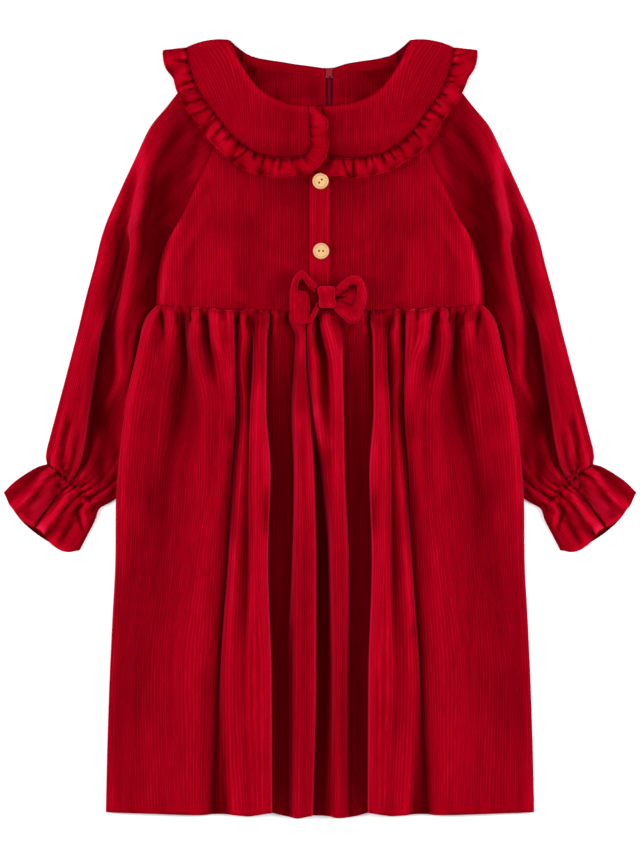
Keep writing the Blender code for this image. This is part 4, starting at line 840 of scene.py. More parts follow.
# ---- collar and its frill ----
COLLAR_SPINES = rows(
    "neck_x neck_y seam_x seam_y z_share",
    (10.6, 299.6, 9.2, 262.0, 1), (17, 300.0, 16.5, 253.2, 1), (30, 302.2, 33, 251.2, 1),
    (45.5, 308.2, 57, 255.0, 1), (57.5, 317.0, 80, 269.5, 1), (67.5, 329.5, 99, 294, 1),
    (75.5, 342, 112.5, 313, 0.99), (81.0, 352, 120.5, 333, 0.93), (83.6, 358.0, 123.8, 347.6, 0.78),
    (84.0, 360.9, 124.2, 354.0, 0.5), (81.4, 359.0, 122.6, 347, 0.2), (76.8, 355.2, 117, 332, 0.05),
    (66, 348.6, 103, 310, 0), (50, 344.6, 80, 296, 0), (32, 341.6, 50, 292.6, 0),
    (4.0, 337.5, 6.5, 292, 0),
)
SHOULDER_RISE = 3.2
SHOULDER_FRONT, SHOULDER_BACK = (0.9, 0.5), (0.02, 0.3)
OVERLAP_LIFT = 3.2
OVERLAP_X = (34.0, 12.0)
UNDERLAP, UNDERLAP_X = 6.8, (46.0, 10.0)     # the left half's front reaches under the right half's
BACK_SHIFT_X = (70.0, 10.0)
BACK_SHARE = 0.3
NECK_LIP, NECK_LIP_X = 0.5, (76.0, 66.0)      # how far the back neck's edge covers the collar's
GRAIN_TURN = (50.0, 120.0, 0.5)     # the collar's wales turn between these distances, to this slope
GRAIN_TURN_Y = 300.0
# Painted shade on the collar, and more of it towards its middle.
COLLAR_SHADE, MIDDLE_SHADE = 0.12, 0.13
MIDDLE_SHADE_X = (78, 30)
# The corner of the neck, where the collar's inside gets a painted highlight.
NECK_CORNER, NECK_CORNER_WIDTH, NECK_CORNER_HIGHLIGHT = (78, 354), 7.746, 0.9
ON_FRONT = (4.6, 8.6)    # heights over which the collar comes to lie on the body's front
COLLAR_ROWS = 190
COLLAR_SHARES = ((0, 0.006, 0.014, 0.025, 0.04), (0.06, 0.95, 34), (0.965, 0.978, 0.988, 0.995, 1))
COLLAR_WIDTH, COLLAR_LENGTH = 42, 300             # about, from neck to seam and from front to back
COLLAR_UNEVEN, COLLAR_CELLS = 0.45, (26, 30)
COLLAR_TUCKS = (7.0, 4.0, 0.72)
# How far the collar drops at the neck, at the frill's seam and at its front edge, and over which
# share of its width or which distance.
NECK_ROLL, NECK_ROLL_OVER = 1.4, (0.05, 0)
FRILL_ROLL, FRILL_ROLL_OVER = 1.3, (2.4, 0)
FRONT_ROLL, FRONT_ROLL_OVER = 1.0, (1.6, 0)


def collar_points(side, along, share):
    """Points of a collar half. along runs 0 to 1 front to back, share 0 to 1 neck to seam."""
    spots = range(len(COLLAR_SPINES))
    table = np.array(COLLAR_SPINES, float)
    neck_x, neck_y, seam_x, seam_y, z_share = np.moveaxis(follow(spots, table, along * spots[-1]), -1, 0)
    at_back = smooth(BACK_SHARE, 0.0, z_share)
    back_neck = neck_edge(side * neck_x + ZIP_X * smooth(*BACK_SHIFT_X, neck_x)) - NECK_LIP
    neck_y = neck_y - np.maximum(neck_y - back_neck, 0) * at_back * smooth(*NECK_LIP_X, neck_x)
    x = neck_x + (seam_x - neck_x) * share
    y = neck_y + (seam_y - neck_y) * share
    if side > 0:
        x = x - UNDERLAP * smooth(*UNDERLAP_X, x) * z_share
    on_shoulder = smooth(*SHOULDER_FRONT, z_share) * smooth(*SHOULDER_BACK, z_share)
    y = y + SHOULDER_RISE * arch(share) * on_shoulder
    top = front_height(x, y) + COLLAR_LOFT
    if side < 0:
        top = top + OVERLAP_LIFT * smooth(*OVERLAP_X, x)
    back_shift = ZIP_X * at_back * smooth(*BACK_SHIFT_X, x) * side
    return np.stack([side * (x + back_shift), y, TABLE + (top - TABLE) * z_share], axis=-1)


def collar(name, side):
    along = np.linspace(0, 1, COLLAR_ROWS)[:, None]
    along, share = np.broadcast_arrays(along, crowded(*COLLAR_SHARES)[None, :])
    points = collar_points(side, along, share)
    x, y = np.abs(points[..., 0]), points[..., 1]
    on_front = smooth(*ON_FRONT, points[..., 2])
    from_seam, from_front = COLLAR_WIDTH * (1 - share), COLLAR_LENGTH * along
    grain = x - GRAIN_TURN[2] * smooth(*GRAIN_TURN[:2], x) * (y - GRAIN_TURN_Y)
    extra = COLLAR_UNEVEN * rumple(51 + side, x, y, *COLLAR_CELLS)
    extra = extra - gathered(from_front, from_seam, 53 + side, *COLLAR_TUCKS)
    extra = extra - NECK_ROLL * smooth(*NECK_ROLL_OVER, share)
    extra = extra - FRILL_ROLL * smooth(*FRILL_ROLL_OVER, from_seam)
    extra = extra - FRONT_ROLL * smooth(*FRONT_ROLL_OVER, from_front)
    points[..., 2] += extra * on_front
    shade = COLLAR_SHADE + MIDDLE_SHADE * smooth(*MIDDLE_SHADE_X, x)
    corner = swell(np.hypot(x - NECK_CORNER[0], y - NECK_CORNER[1]), 0, NECK_CORNER_WIDTH)
    shade = shade - NECK_CORNER_HIGHLIGHT * corner * (1 - on_front)
    lay(name, points, grain * side, y, shade=shade)


FRILL_SEAM = 0.4         # the frill starts this far from the collar's edge
FRILL_START = 0.03       # and this share of the front edge below the neck seam
TURN_TO_BACK = (0.97, 0.8)
FRONT_EDGE_STEPS, OUTER_EDGE_STEPS = 24, 240
SPINE_FROM = 0.8         # share across from which the way out is read at the back
OUT_EVENED = 6           # how often the way out is evened
# The frill stands out at the shoulder's fold: where along the edge and how widely, and by how much.
SHOULDER_SPINE, BEFORE_FOLD, SHOULDER_FOLD = (8.3, 1.3), (7.85, 0.8), (9.1, 0.5)
SHOULDER_LIFT, SHOULDER_WIDER, TIP_WIDER = 0.34, 5.0, 1.6


def frill_seam(side):
    """The collar half's edge and the way out of it: up the front, round the corner, to the back."""
    front = np.linspace(FRILL_START, 1.0, FRONT_EDGE_STEPS)
    outer = np.linspace(0, 1, OUTER_EDGE_STEPS + 1)[1:]
    along = np.concatenate([0 * front, outer])
    share = np.concatenate([front, np.ones(len(outer))])
    line = collar_points(side, along, share)
    spine = unit((line - collar_points(side, along, 0 * share + SPINE_FROM))[:, :2])
    spine[:FRONT_EDGE_STEPS] = spine[FRONT_EDGE_STEPS]
    spots = range(len(COLLAR_SPINES))
    at = along * spots[-1]
    spine[:, 1] += SHOULDER_LIFT * swell(at, *SHOULDER_SPINE)
    wider = SHOULDER_WIDER * np.exp(-(((at - BEFORE_FOLD[0]) / BEFORE_FOLD[1]) ** 4))
    wider = wider + TIP_WIDER * swell(at, *SHOULDER_FOLD)
    way = np.gradient(line, axis=0)
    square = np.stack([way[:, 1], -way[:, 0]], axis=1) * side
    z_share = follow(spots, [c.z_share for c in COLLAR_SPINES], at)
    turn = smooth(*TURN_TO_BACK, z_share)[:, None]
    out = unit(unit(square) * (1 - turn) + unit(spine) * turn)
    for _ in range(OUT_EVENED):
        out[1:-1] = unit(out[:-2] + 2 * out[1:-1] + out[2:])
    return reached(lengths_of(line)), line, out, wider


# How unevenly the frill's tucks are spaced, and how deep, long, slanted and wide they are.
TUCK_PITCH, TUCK_DEPTH, TUCK_REACH = (4.5, 12.0), (1.0, 3.0), (5.0, 15.0)
TUCK_LEAN, TUCK_WIDTH, TUCK_OPENS = (-0.35, 0.35), (0.8, 1.7), 9
TUCK_FADE, PUFF_FADE = (1.25, 0.2), (1.5, 0.2)
LONG_SHARE, LONG_REACH = 0.2, 26.0
PUFF_RISE, PUFF_BESIDE, PUFF_WIDTH = 0.45, 2.6, 1.8


def pleated(along, away, seed, length):
    """Puffs between the tucks of a gathered strip: narrow valleys at the seam that open out, and
    now and then a fold that runs to the edge."""
    draw = np.random.default_rng(seed)
    total = np.zeros(np.shape(along))
    at = 0.0
    while at < length:
        at += draw.uniform(*TUCK_PITCH)
        depth, reach = draw.uniform(*TUCK_DEPTH), draw.uniform(*TUCK_REACH)
        if draw.uniform() < LONG_SHARE:
            reach = LONG_REACH
        lean, wide = draw.uniform(*TUCK_LEAN), draw.uniform(*TUCK_WIDTH)
        off = along - at - lean * away
        tuck = swell(off, 0, wide * (1 + away / TUCK_OPENS)) * smooth(*TUCK_FADE, away / reach)
        puff = swell(off, PUFF_BESIDE * wide, PUFF_WIDTH * wide) * smooth(*PUFF_FADE, away / reach)
        total += depth * (PUFF_RISE * puff - tuck)
    return total


FRILL_STEP = 0.8
FRILL_SHARES = ((), (0, 0.9, 19), (0.93, 0.96, 0.985, 1.0))
FRONT_TAPER = (-9.0, 17.0)         # the right half's frill widens over this stretch
ON_TABLE = (6.0, 1.0)    # heights of the seam over which the frill comes to lie on the table
LAIN_ON_X = (22, 8)      # where the right half's frill lies on the left half's
LAIN_CALM = 0.75         # how much of its shape cloth that lies flat or is lain on loses
CORNER_CALM, CORNER_FOLDS, CORNER_WAVE = (60, 44), 0.72, 0.6      # the right half's front corner
EDGE_WAVE, EDGE_WAVE_CELLS, EDGE_WAVE_LEAN, EDGE_WAVE_POWER = 2.0, (8.0, 1), 0.25, 0.7
FRILL_UNEVEN, FRILL_CELLS = 0.8, (4.0, 12)
WIDTH_UNEVEN, WIDTH_CELLS = 1.2, (12, 1)
DOME, DOME_SHARE, DOME_LIFT = 2.2, 1.05, 0.9
FRILL_EDGE, FRILL_EDGE_OVER = 0.6, (FRILL_WIDTH - 1.6, FRILL_WIDTH - 0.4)    # its turned edge
FRILL_SINKS, FRILL_SINKS_OVER = 1.5, (0.25, 0)
# Painted shade on the frill, uneven over it.
FRILL_SHADE, FRILL_SHADE_UNEVEN, FRILL_SHADE_CELLS = 0.14, 0.16, (14, 30)
FRILL_PLAIN, FRILL_HEM, FRILL_GRAIN_LEAN = 0.55, (0.9, 0.94), 0.12
# Painted highlights on the frill and one band of painted shade, on the wearer's left; the right half
# mirrors them.
FRILL_SHADES = strokes(
    (135, 320, 131, 312, 4.5, -0.8), (118, 346, 128, 343, 6, -0.9), (137, 354, 142, 350, 5, 0.45),
)


def frill(name, side):
    reach, line, outward, wider = frill_seam(side)
    at = np.arange(0, reach[-1], FRILL_STEP)[:, None]
    share = crowded(*FRILL_SHARES)[None, :]
    base = np.stack([np.interp(at, reach, line[:, a]) for a in range(3)], axis=-1)
    out = np.stack([np.interp(at, reach, outward[:, a]) for a in range(2)], axis=-1)
    along, away = at + 0 * share, FRILL_WIDTH * share + 0 * at
    on_table = smooth(*ON_TABLE, base[..., 2])
    lain_on = smooth(*LAIN_ON_X, np.abs(base[..., 0])) * (1 - on_table) if side > 0 else 0.0
    corner = smooth(*CORNER_CALM, along) if side < 0 else 0.0
    folds = pleated(along, away, 61 + side, reach[-1]) * (1 - CORNER_FOLDS * corner)
    wave = rumple(63 + side, along + EDGE_WAVE_LEAN * away, 0, *EDGE_WAVE_CELLS)
    wave = EDGE_WAVE * wave * share**EDGE_WAVE_POWER
    wave = wave + FRILL_UNEVEN * rumple(65 + side, along, away, *FRILL_CELLS) * share
    width = FRILL_WIDTH + WIDTH_UNEVEN * rumple(67 + side, along, 0, *WIDTH_CELLS)
    width = width + np.interp(at, reach, wider)
    if side < 0:
        width = width * smooth(*FRONT_TAPER, along)
    dome = DOME * np.sin(math.pi * np.minimum(share * DOME_SHARE, 1)) + DOME_LIFT * share
    dome = dome + FRILL_EDGE * smooth(*FRILL_EDGE_OVER, away)
    z = dome * (1 - on_table) + folds + wave * (1 - CORNER_WAVE * corner)
    z = base[..., 2] + z * (1 - LAIN_CALM * np.maximum(on_table, lain_on))
    z = z - FRILL_SINKS * (1 - on_table) * smooth(*FRILL_SINKS_OVER, share)
    offset = FRILL_SEAM + (width - FRILL_SEAM) * share
    x, y = np.moveaxis(base[..., :2] + out * offset[..., None], -1, 0)
    shade = FRILL_SHADE + FRILL_SHADE_UNEVEN * rumple(69 + side, along, away, *FRILL_SHADE_CELLS)
    shade = shade + creased(side * x, y, FRILL_SHADES)
    points = np.stack([x, y, np.maximum(z, TABLE)], axis=-1)
    plain = np.maximum(FRILL_PLAIN, smooth(*FRILL_HEM, share))
    lay(name, points, along + FRILL_GRAIN_LEAN * away, away, plain, shade=shade)


# ---- placket, facing, bow ----
PLACKET_SHARES = ((-1, -0.985, -0.955, -0.91), (-0.85, 0.85, 12), (0.91, 0.955, 0.985, 1))
PLACKET_ROLL, PLACKET_ROLL_AT = 0.9, (0.86, 1)
PLACKET_UNEVEN = ((0.25, 71, 8, 16),)
PLACKET_GRAIN = (1.02, 1.2)        # its wales don't run on from the front's: a stretch and a shift


def placket():
    y, half, _ = edge_rows(BODICE_STEP)
    share = crowded(*PLACKET_SHARES)
    at = bodice_lines(y[:, None], half[:, None])
    points = at(share[None, :] * (PLACKET_HALF / half)[:, None])
    x, up = points[..., 0], points[..., 1]
    points[..., 2] = front_surface(x, up, points[..., 2]) + PLY + uneven(x, up, PLACKET_UNEVEN)
    points[..., 2] -= PLACKET_ROLL * smooth(*PLACKET_ROLL_AT, np.abs(share))[None, :]
    lay("placket", points, x * PLACKET_GRAIN[0] + PLACKET_GRAIN[1], up)


# FACING_SHADE is painted shade all over the facing.
FACING_EDGE_IN, FACING_DEPTH, FACING_SHADE = 1.2, 9.5, 0.38
FACING_COLUMNS, FACING_ROWS, FACING_PLAIN = 60, 14, 0.5
FACING_UNEVEN, FACING_CELLS = 0.25, (10, 5)
FACING_ROLL, FACING_ROLL_AT = 0.7, (0.86, 1)


def neck_facing(name, side):
    x = np.linspace(ZIP_SLOT + side * ZIP_X, NECK_EDGE[-1].x, FACING_COLUMNS)[:, None]
    share = np.linspace(0, 1, FACING_ROWS)[None, :]
    y = neck_edge(side * x) - FACING_EDGE_IN - (FACING_DEPTH - FACING_EDGE_IN) * share
    x = x + 0 * share
    z = bed(x, y) + TABLE + PLY + FACING_UNEVEN * rumple(75 + side, x, y, *FACING_CELLS)
    z = z - FACING_ROLL * smooth(*FACING_ROLL_AT, share)
    lay(name, np.stack([side * x, y, z], axis=-1), x, y, plain=FACING_PLAIN, shade=FACING_SHADE)


KNOT = (6.5, 122.0)
KNOT_HALF = 8.3
BOW_Z = 15.2
# Each loop from the knot round to the knot again: its outline, the edge of its opening, how high
# its band rises there, and how dark the painted shade inside it is.
LOOP_RIGHT = rows(
    "x y in_x in_y rise dark",
    (-2.8, 131.6, -4.7, 126.9, 4.5, 0.55), (-9.3, 139.0, -9.3, 130.7, 6.5, 0.55),
    (-16.7, 146.0, -15.8, 138.6, 7.5, 0.6), (-21.4, 142.8, -20.0, 136.7, 7.5, 0.6),
    (-25.6, 134.4, -21.4, 128.3, 7.5, 0.9), (-27.4, 122.3, -12.6, 126.0, 7.5, 0.85),
    (-27.0, 110.2, -10.2, 116.7, 7, 0.8), (-24.2, 100.0, -9.8, 107.9, 6.5, 0.8),
    (-20.9, 96.3, -9.8, 104.6, 6, 0.8), (-14.9, 97.7, -8.8, 104.6, 6, 0.8),
    (-9.3, 99.0, -7.4, 107.0, 6, 0.8), (-5.6, 102.8, -5.6, 110.2, 5.5, 0.8),
    (-1.9, 111.1, -2.8, 116.7, 4, 0.8),
)
LOOP_LEFT = rows(
    "x y in_x in_y rise dark",
    (12.1, 126.9, 14.0, 123.2, 4, 0.3), (16.7, 131.6, 18.6, 126.0, 6, 0.5),
    (23.2, 137.6, 25.1, 130.7, 8, 0.75), (29.8, 140.9, 28.4, 133.9, 8.5, 0.85),
    (35.3, 140.4, 33.0, 133.9, 8.5, 0.7), (40.0, 135.3, 35.3, 131.1, 8.5, 0.4),
    (42.8, 125.1, 34.9, 124.2, 8, -0.1), (41.9, 114.9, 33.5, 118.6, 7.5, -0.2),
    (38.1, 106.5, 31.6, 113.9, 7, -0.3), (33.9, 98.6, 29.3, 113.0, 6.5, -0.3),
    (28.8, 97.7, 26.5, 113.5, 6.5, 0.0), (22.3, 102.3, 21.4, 116.2, 6.5, 0.1),
    (15.8, 108.3, 16.7, 119.0, 5, 0.3), (12.1, 113.9, 13.5, 119.0, 3.5, 0.3),
)
# What a loop is drawn through, from the middle of its back layer out to its outline, and up over its
# band to the edge of its opening: how much of the outline and of the opening's edge goes into the
# place, its height, with a share of the rise, and its painted shade, with shares of the loop's own.
LOOP_BANDS = rows(
    "outer inner high rise shade dark least",
    (0, 0, 0.7, 0, 0, 0, 1), (0, 0.5, 0.7, 0, 0, 0.5, 0.5), (0, 1, 0.7, 0, 0, 1, 0),
    (0.8, 0.2, 0.7, 0, 0, 0.9, 0), (1, 0, 0, 0.6, 0.12, 0, 0), (1.02, 0, 0, 0.45, 0.05, 0, 0),
    (0.93, 0.07, 0, 0.82, 0, 0, 0), (0.72, 0.28, 0, 1, 0, 0, 0), (0.4, 0.6, 0, 0.95, 0.04, 0, 0),
    (0.1, 0.9, 0, 0.8, 0.1, 0, 0), (0, 1, 0, 0.62, 0.35, 0, 0), (0.1, 0.9, 0, 0.45, 0.8, 0, 0),
)
ROUND_AT, ACROSS_AT, LOOP_STEP = 6, 5, 0.8        # where a loop's lengths are measured
BAND_STARTS = (5.5, 7.0)
LOOP_UNEVEN, LOOP_CELLS = 0.7, (5, 6)
LOOP_PLEAT, LOOP_PLEAT_PITCH, LOOP_PLEAT_WIDTH = 0.9, 1.15, 6
LOOP_DARKEST, LOOP_GRAIN_LEAN = 0.95, 0.25


def bow_loop(name, rim, seed):
    """A ribbon's loop that stands on its back layer, open towards the top, with its inside seen."""
    rim = np.array(rim)
    outer, inner, rise, dark = rim[:, 0:2], rim[:, 2:4], rim[:, 4:5], rim[:, 5:6]
    middle, grid = inner.mean(axis=0), []
    for b in LOOP_BANDS:
        spot = outer * b.outer + inner * b.inner + middle * (1 - b.outer - b.inner)
        shade = b.shade + b.dark * dark + b.least * dark.min()
        grid.append(np.concatenate([spot, BOW_Z + b.high + b.rise * rise, shade], axis=1))
    grid = np.stack(grid, axis=1)
    rows_at = spaced(lengths_of(grid[:, ROUND_AT, :3]), LOOP_STEP, least=3)
    columns_at = spaced(lengths_of(grid[ACROSS_AT, :, :3]), LOOP_STEP, least=3)
    x, y, z, shade = np.moveaxis(drawn_through(grid, rows_at, columns_at), -1, 0)
    near_knot = swell(np.hypot(x - KNOT[0], y - KNOT[1]), KNOT_HALF, LOOP_PLEAT_WIDTH)
    extra = LOOP_PLEAT * near_knot * np.sin(y * LOOP_PLEAT_PITCH + seed)
    extra = extra + LOOP_UNEVEN * rumple(80 + seed, x, y, *LOOP_CELLS)
    z = np.maximum(z + extra * smooth(*BAND_STARTS, columns_at)[None, :], BOW_Z)
    shade = np.minimum(shade, LOOP_DARKEST)
    lay(name, np.stack([x, y, z], axis=-1), x + LOOP_GRAIN_LEAN * y * seed, y, shade=shade)


KNOT_SECTIONS = rows(
    "y grow",
    (-10.2, 0.3), (-9.8, 0.64), (-8.6, 0.88), (-6.2, 0.98), (-3, 0.95), (0, 0.92), (3, 0.96),
    (6.2, 1.0), (8.6, 0.9), (9.8, 0.66), (10.2, 0.3),
)
KNOT_SQUARE = 0.62       # how square its section is: 1 is an ellipse, 0 a box
KNOT_RISE, KNOT_LEAN = 8.0, 0.07
KNOT_ROWS, KNOT_STEPS, KNOT_PLY = 42, 72, 0.4
KNOT_PLEATS, KNOT_PLEATED = (0.045, 5.2, 0.16, 1), (-0.2, 0.5)
KNOT_WAIST = (0.06, 4)   # it is drawn in at its middle by this share, over this length
KNOT_GRAIN = 1.3


def squared(values):
    """A cosine or sine that makes a rounded box instead of a circle."""
    return np.sign(values) * np.abs(values) ** KNOT_SQUARE


def bow_knot():
    low = front_height(*KNOT) + PLY + CLOTH / 2 + GAP
    high = BOW_Z + KNOT_RISE
    y = np.linspace(KNOT_SECTIONS[0].y, KNOT_SECTIONS[-1].y, KNOT_ROWS)[:, None]
    grow = read(KNOT_SECTIONS, "y", "grow", y)
    a = np.linspace(0, 2 * math.pi, KNOT_STEPS + 1)[None, :]
    out, up = squared(np.cos(a)), squared(np.sin(a))
    rise, pitch, slant, start = KNOT_PLEATS
    pleat = rise * np.sin(pitch * out + slant * y + start) * smooth(*KNOT_PLEATED, np.sin(a))
    waist = 1 - KNOT_WAIST[0] * np.cos(y / KNOT_WAIST[1])
    x = KNOT[0] + KNOT_HALF * out * grow * waist - KNOT_LEAN * y
    z = (low + high) / 2 + (high - low) / 2 * up * grow * (1 + pleat)
    y = y + 0 * a
    grain = out * KNOT_HALF * KNOT_GRAIN + 0 * y
    lay("bow_knot", np.stack([x, KNOT[1] + y, z], axis=-1), grain, y, thickness=KNOT_PLY)


front_bodice()
front_skirt()
back_skirt()
for side, wearer in ((-1, "right"), (1, "left")):
    back_bodice(f"back_bodice_{wearer}", side)
    sleeve(f"sleeve_{wearer}", side)
    collar(f"collar_{wearer}", side)
    frill(f"collar_frill_{wearer}", side)
    neck_facing(f"neck_facing_{wearer}", side)
placket()
bow_loop("bow_loop_right", LOOP_RIGHT, 0)
bow_loop("bow_loop_left", LOOP_LEFT, 1)
bow_knot()


# ---- painted shade where the cloth lies deep in a fold, painted highlight where it stands proud ----
CELL = 1.5               # of the map of heights
MAP_X, MAP_Y = 300.0, 366.0
DEEPENED = 3.0           # the painted shade is worked out as if the folds were this many times deeper
LOOKS = (2.2, 4.5, 8, 13, 20, 30, 44)       # how far each way the rise of the cloth is looked for
WAYS = 16
PROUD_REACH, PROUD_BY = 5, 2.4     # cells, millimetres
POINTS_A_CELL = 1.3
MAP_RIM = 1.001          # cells left out at the map's far sides, where there is no next cell to read
BOTH_WAYS = 0.30         # weight of being shut in on both sides


def filled_in(points):
    """A piece's points, with others between them where they lie more than a cell apart."""
    for axis in (0, 1):
        step = np.linalg.norm(np.diff(points, axis=axis), axis=-1).max()
        times = max(1, int(math.ceil(step / CELL * POINTS_A_CELL)))
        last = points.shape[axis] - 1
        at = np.linspace(0, last, last * times + 1)
        low = np.minimum(at.astype(int), last - 1)
        part = (at - low).reshape((-1, 1, 1) if axis == 0 else (1, -1, 1))
        points = np.take(points, low, axis) * (1 - part) + np.take(points, low + 1, axis) * part
    return points


def height_map():
    """The highest cloth over each cell of the table, without the bow."""
    shape = (int(2 * MAP_Y / CELL) + 1, int(2 * MAP_X / CELL) + 1)
    heights = np.zeros(shape)
    for p in patterns:
        if p.name.startswith("bow"):
            continue
        fine = filled_in(p.points)
        column = np.clip(((fine[..., 0] + MAP_X) / CELL).round().astype(int), 0, shape[1] - 1)
        row = np.clip(((fine[..., 1] + MAP_Y) / CELL).round().astype(int), 0, shape[0] - 1)
        np.maximum.at(heights, (row, column), fine[..., 2])
    return heights


def open_sky(heights):
    """Share of the light that each cell gets, for the painted shade, with its folds deepened: less
    next to something higher, and least where the cloth rises on both sides."""
    horizons = []
    for k in range(WAYS):
        angle = 2 * math.pi * k / WAYS
        horizon = np.zeros(heights.shape)
        for look in LOOKS:
            step_x = int(round(math.cos(angle) * look / CELL))
            step_y = int(round(math.sin(angle) * look / CELL))
            there = np.roll(heights, (-step_y, -step_x), (0, 1))
            far = CELL * math.hypot(step_x, step_y)
            horizon = np.maximum(horizon, np.arctan2(DEEPENED * (there - heights), far))
        horizons.append(np.cos(horizon) ** 2)
    horizons = np.array(horizons)
    both_ways = np.maximum(horizons, np.roll(horizons, WAYS // 2, axis=0))
    return (1 - BOTH_WAYS) * horizons.mean(axis=0) + BOTH_WAYS * both_ways.mean(axis=0)


def standing_proud(heights):
    """0 to 1: how far each cell stands out of what lies around it, which is where the painted highlight
    goes.
    """
    around = evened(heights, PROUD_REACH, PROUD_REACH)
    return np.clip((heights - around) / PROUD_BY, 0, 1)


def read_map(values, x, y):
    """The map's values at these points, evened out between its cells."""
    a = np.clip((x + MAP_X) / CELL, 0, values.shape[1] - MAP_RIM)
    b = np.clip((y + MAP_Y) / CELL, 0, values.shape[0] - MAP_RIM)
    i, j = a.astype(int), b.astype(int)
    s, t = a - i, b - j
    low = values[j, i] * (1 - s) + values[j, i + 1] * s
    return low * (1 - t) + (values[j + 1, i] * (1 - s) + values[j + 1, i + 1] * s) * t


heights = height_map()
sky = open_sky(heights)
proud = standing_proud(heights)


# ---- materials ----
class Value:
    """A socket that works in expressions: each operator adds the Math node that it needs."""

    def __init__(self, finish, socket):
        self.finish, self.socket = finish, socket

    def math(self, operation, *values):
        return self.finish.node("ShaderNodeMath", {"operation": operation}, dict(enumerate(values)))

    def __add__(self, other):
        return self.math("ADD", self, other)

    def __radd__(self, other):
        return self.math("ADD", other, self)

    def __sub__(self, other):
        return self.math("SUBTRACT", self, other)

    def __rsub__(self, other):
        return self.math("SUBTRACT", other, self)

    def __mul__(self, other):
        return self.math("MULTIPLY", self, other)

    def __rmul__(self, other):
        return self.math("MULTIPLY", other, self)


COLOUR_A, COLOUR_B = 6, 7        # the sockets by which the Mix node takes two colours


class Finish:
    """A material and its node tree, started with the values that are the same all over it."""

    def __init__(self, name, **constants):
        self.material = bpy.data.materials.new(name)
        self.material.use_nodes = True
        self.tree = self.material.node_tree
        self.shader = self.tree.nodes["Principled BSDF"]
        for socket, value in constants.items():
            self.shader.inputs[socket.replace("_", " ")].default_value = value

    def node(self, kind, settings=None, values=None, output=0):
        """Adds a node: its settings first, then its sockets' values or links. Gives one output."""
        made = self.tree.nodes.new(kind)
        for setting, value in (settings or {}).items():
            setattr(made, setting, value)
        for socket, value in (values or {}).items():
            self.put(made.inputs[socket], value)
        return Value(self, made.outputs[output])

    def put(self, socket, value):
        if isinstance(value, Value):
            self.tree.links.new(value.socket, socket)
        else:
            socket.default_value = value

    def feed(self, socket, value):
        self.put(self.shader.inputs[socket], value)

    def mixed(self, share, first, second):
        """A colour between two colours."""
        first, second = (c if isinstance(c, Value) else (*c, 1) for c in (first, second))
        sockets = {0: share, COLOUR_A: first, COLOUR_B: second}
        return self.node("ShaderNodeMix", {"data_type": "RGBA"}, sockets, output=2)

    def kept(self, attribute):
        """The three values that the mesh keeps under this name at each of its points."""
        vector = self.node("ShaderNodeAttribute", {"attribute_name": attribute}, output="Vector")
        split = self.node("ShaderNodeSeparateXYZ", values={0: vector})
        return [Value(self, output) for output in split.socket.node.outputs]

    def noise(self, vector, scale, detail=2.0, roughness=0.5):
        values = {"Vector": vector, "Scale": scale, "Detail": detail, "Roughness": roughness}
        return self.node("ShaderNodeTexNoise", {"noise_dimensions": "3D"}, values)

    def point(self, x, y, z=0.0):
        return self.node("ShaderNodeCombineXYZ", values={0: x, 1: y, 2: z})

    def bump(self, height, distance, strength=1.0):
        values = {"Height": height, "Distance": distance, "Strength": strength}
        self.feed("Normal", self.node("ShaderNodeBump", values=values))


# The velvet's colour where lit, the red of its painted shade and of its darker mottle, and the pink of its
# painted highlights.
CRIMSON = (0.342, 0.0, 0.0074)
SHADE_AND_MOTTLE_RED = (0.026, 0.0, 0.0002)
PAINTED_HIGHLIGHT_RED = (0.60, 0.006, 0.038)
WALE = 0.0023            # from one wale to the next, in metres
WALE_WANDERS, WALE_UNEVEN = 0.0016, 7      # how far the wales stray, in metres and in radians
# How fast each kind of unevenness changes across and along the grain, per metre.
WANDER, WIDTHS, STREAKS = (14, 9), (150, 4), (1150, 40)
HEIGHTS, MOTTLE, FUZZ = (300, 45), (26, 12), (2600, 900)
RIB_LEAST, RIB_VARIES, STREAK_HEIGHT, FUZZ_HEIGHT = 0.1, 0.7, 1.2, 0.35
PLAIN_FLAT, PLAIN_EVEN = 0.85, 0.25        # what a turned hem loses of the ribs and of their shade
OPEN_FROM, OPEN_HIGHLIGHT = 0.82, 0.7            # a painted highlight on cloth in the open, above this share, by this much
# The wales' tops get a painted highlight and their grooves painted shade; the mottle is an uneven tone.
RIB_HIGHLIGHT, RIB_SHADE, MOTTLE_SHADE, MOTTLE_EVEN = 0.46, 0.27, 0.45, 0.55
STEEP_FROM, STEEP_HIGHLIGHT = 0.3, 1.2           # a painted highlight where the cloth turns down more than this, and deep in a fold by this share
STEEP_IN_FOLDS = 0.25                      # than this, and deep in a fold by this share
ROUGH_LEAST, ROUGH_VARIES = 0.72, 0.2


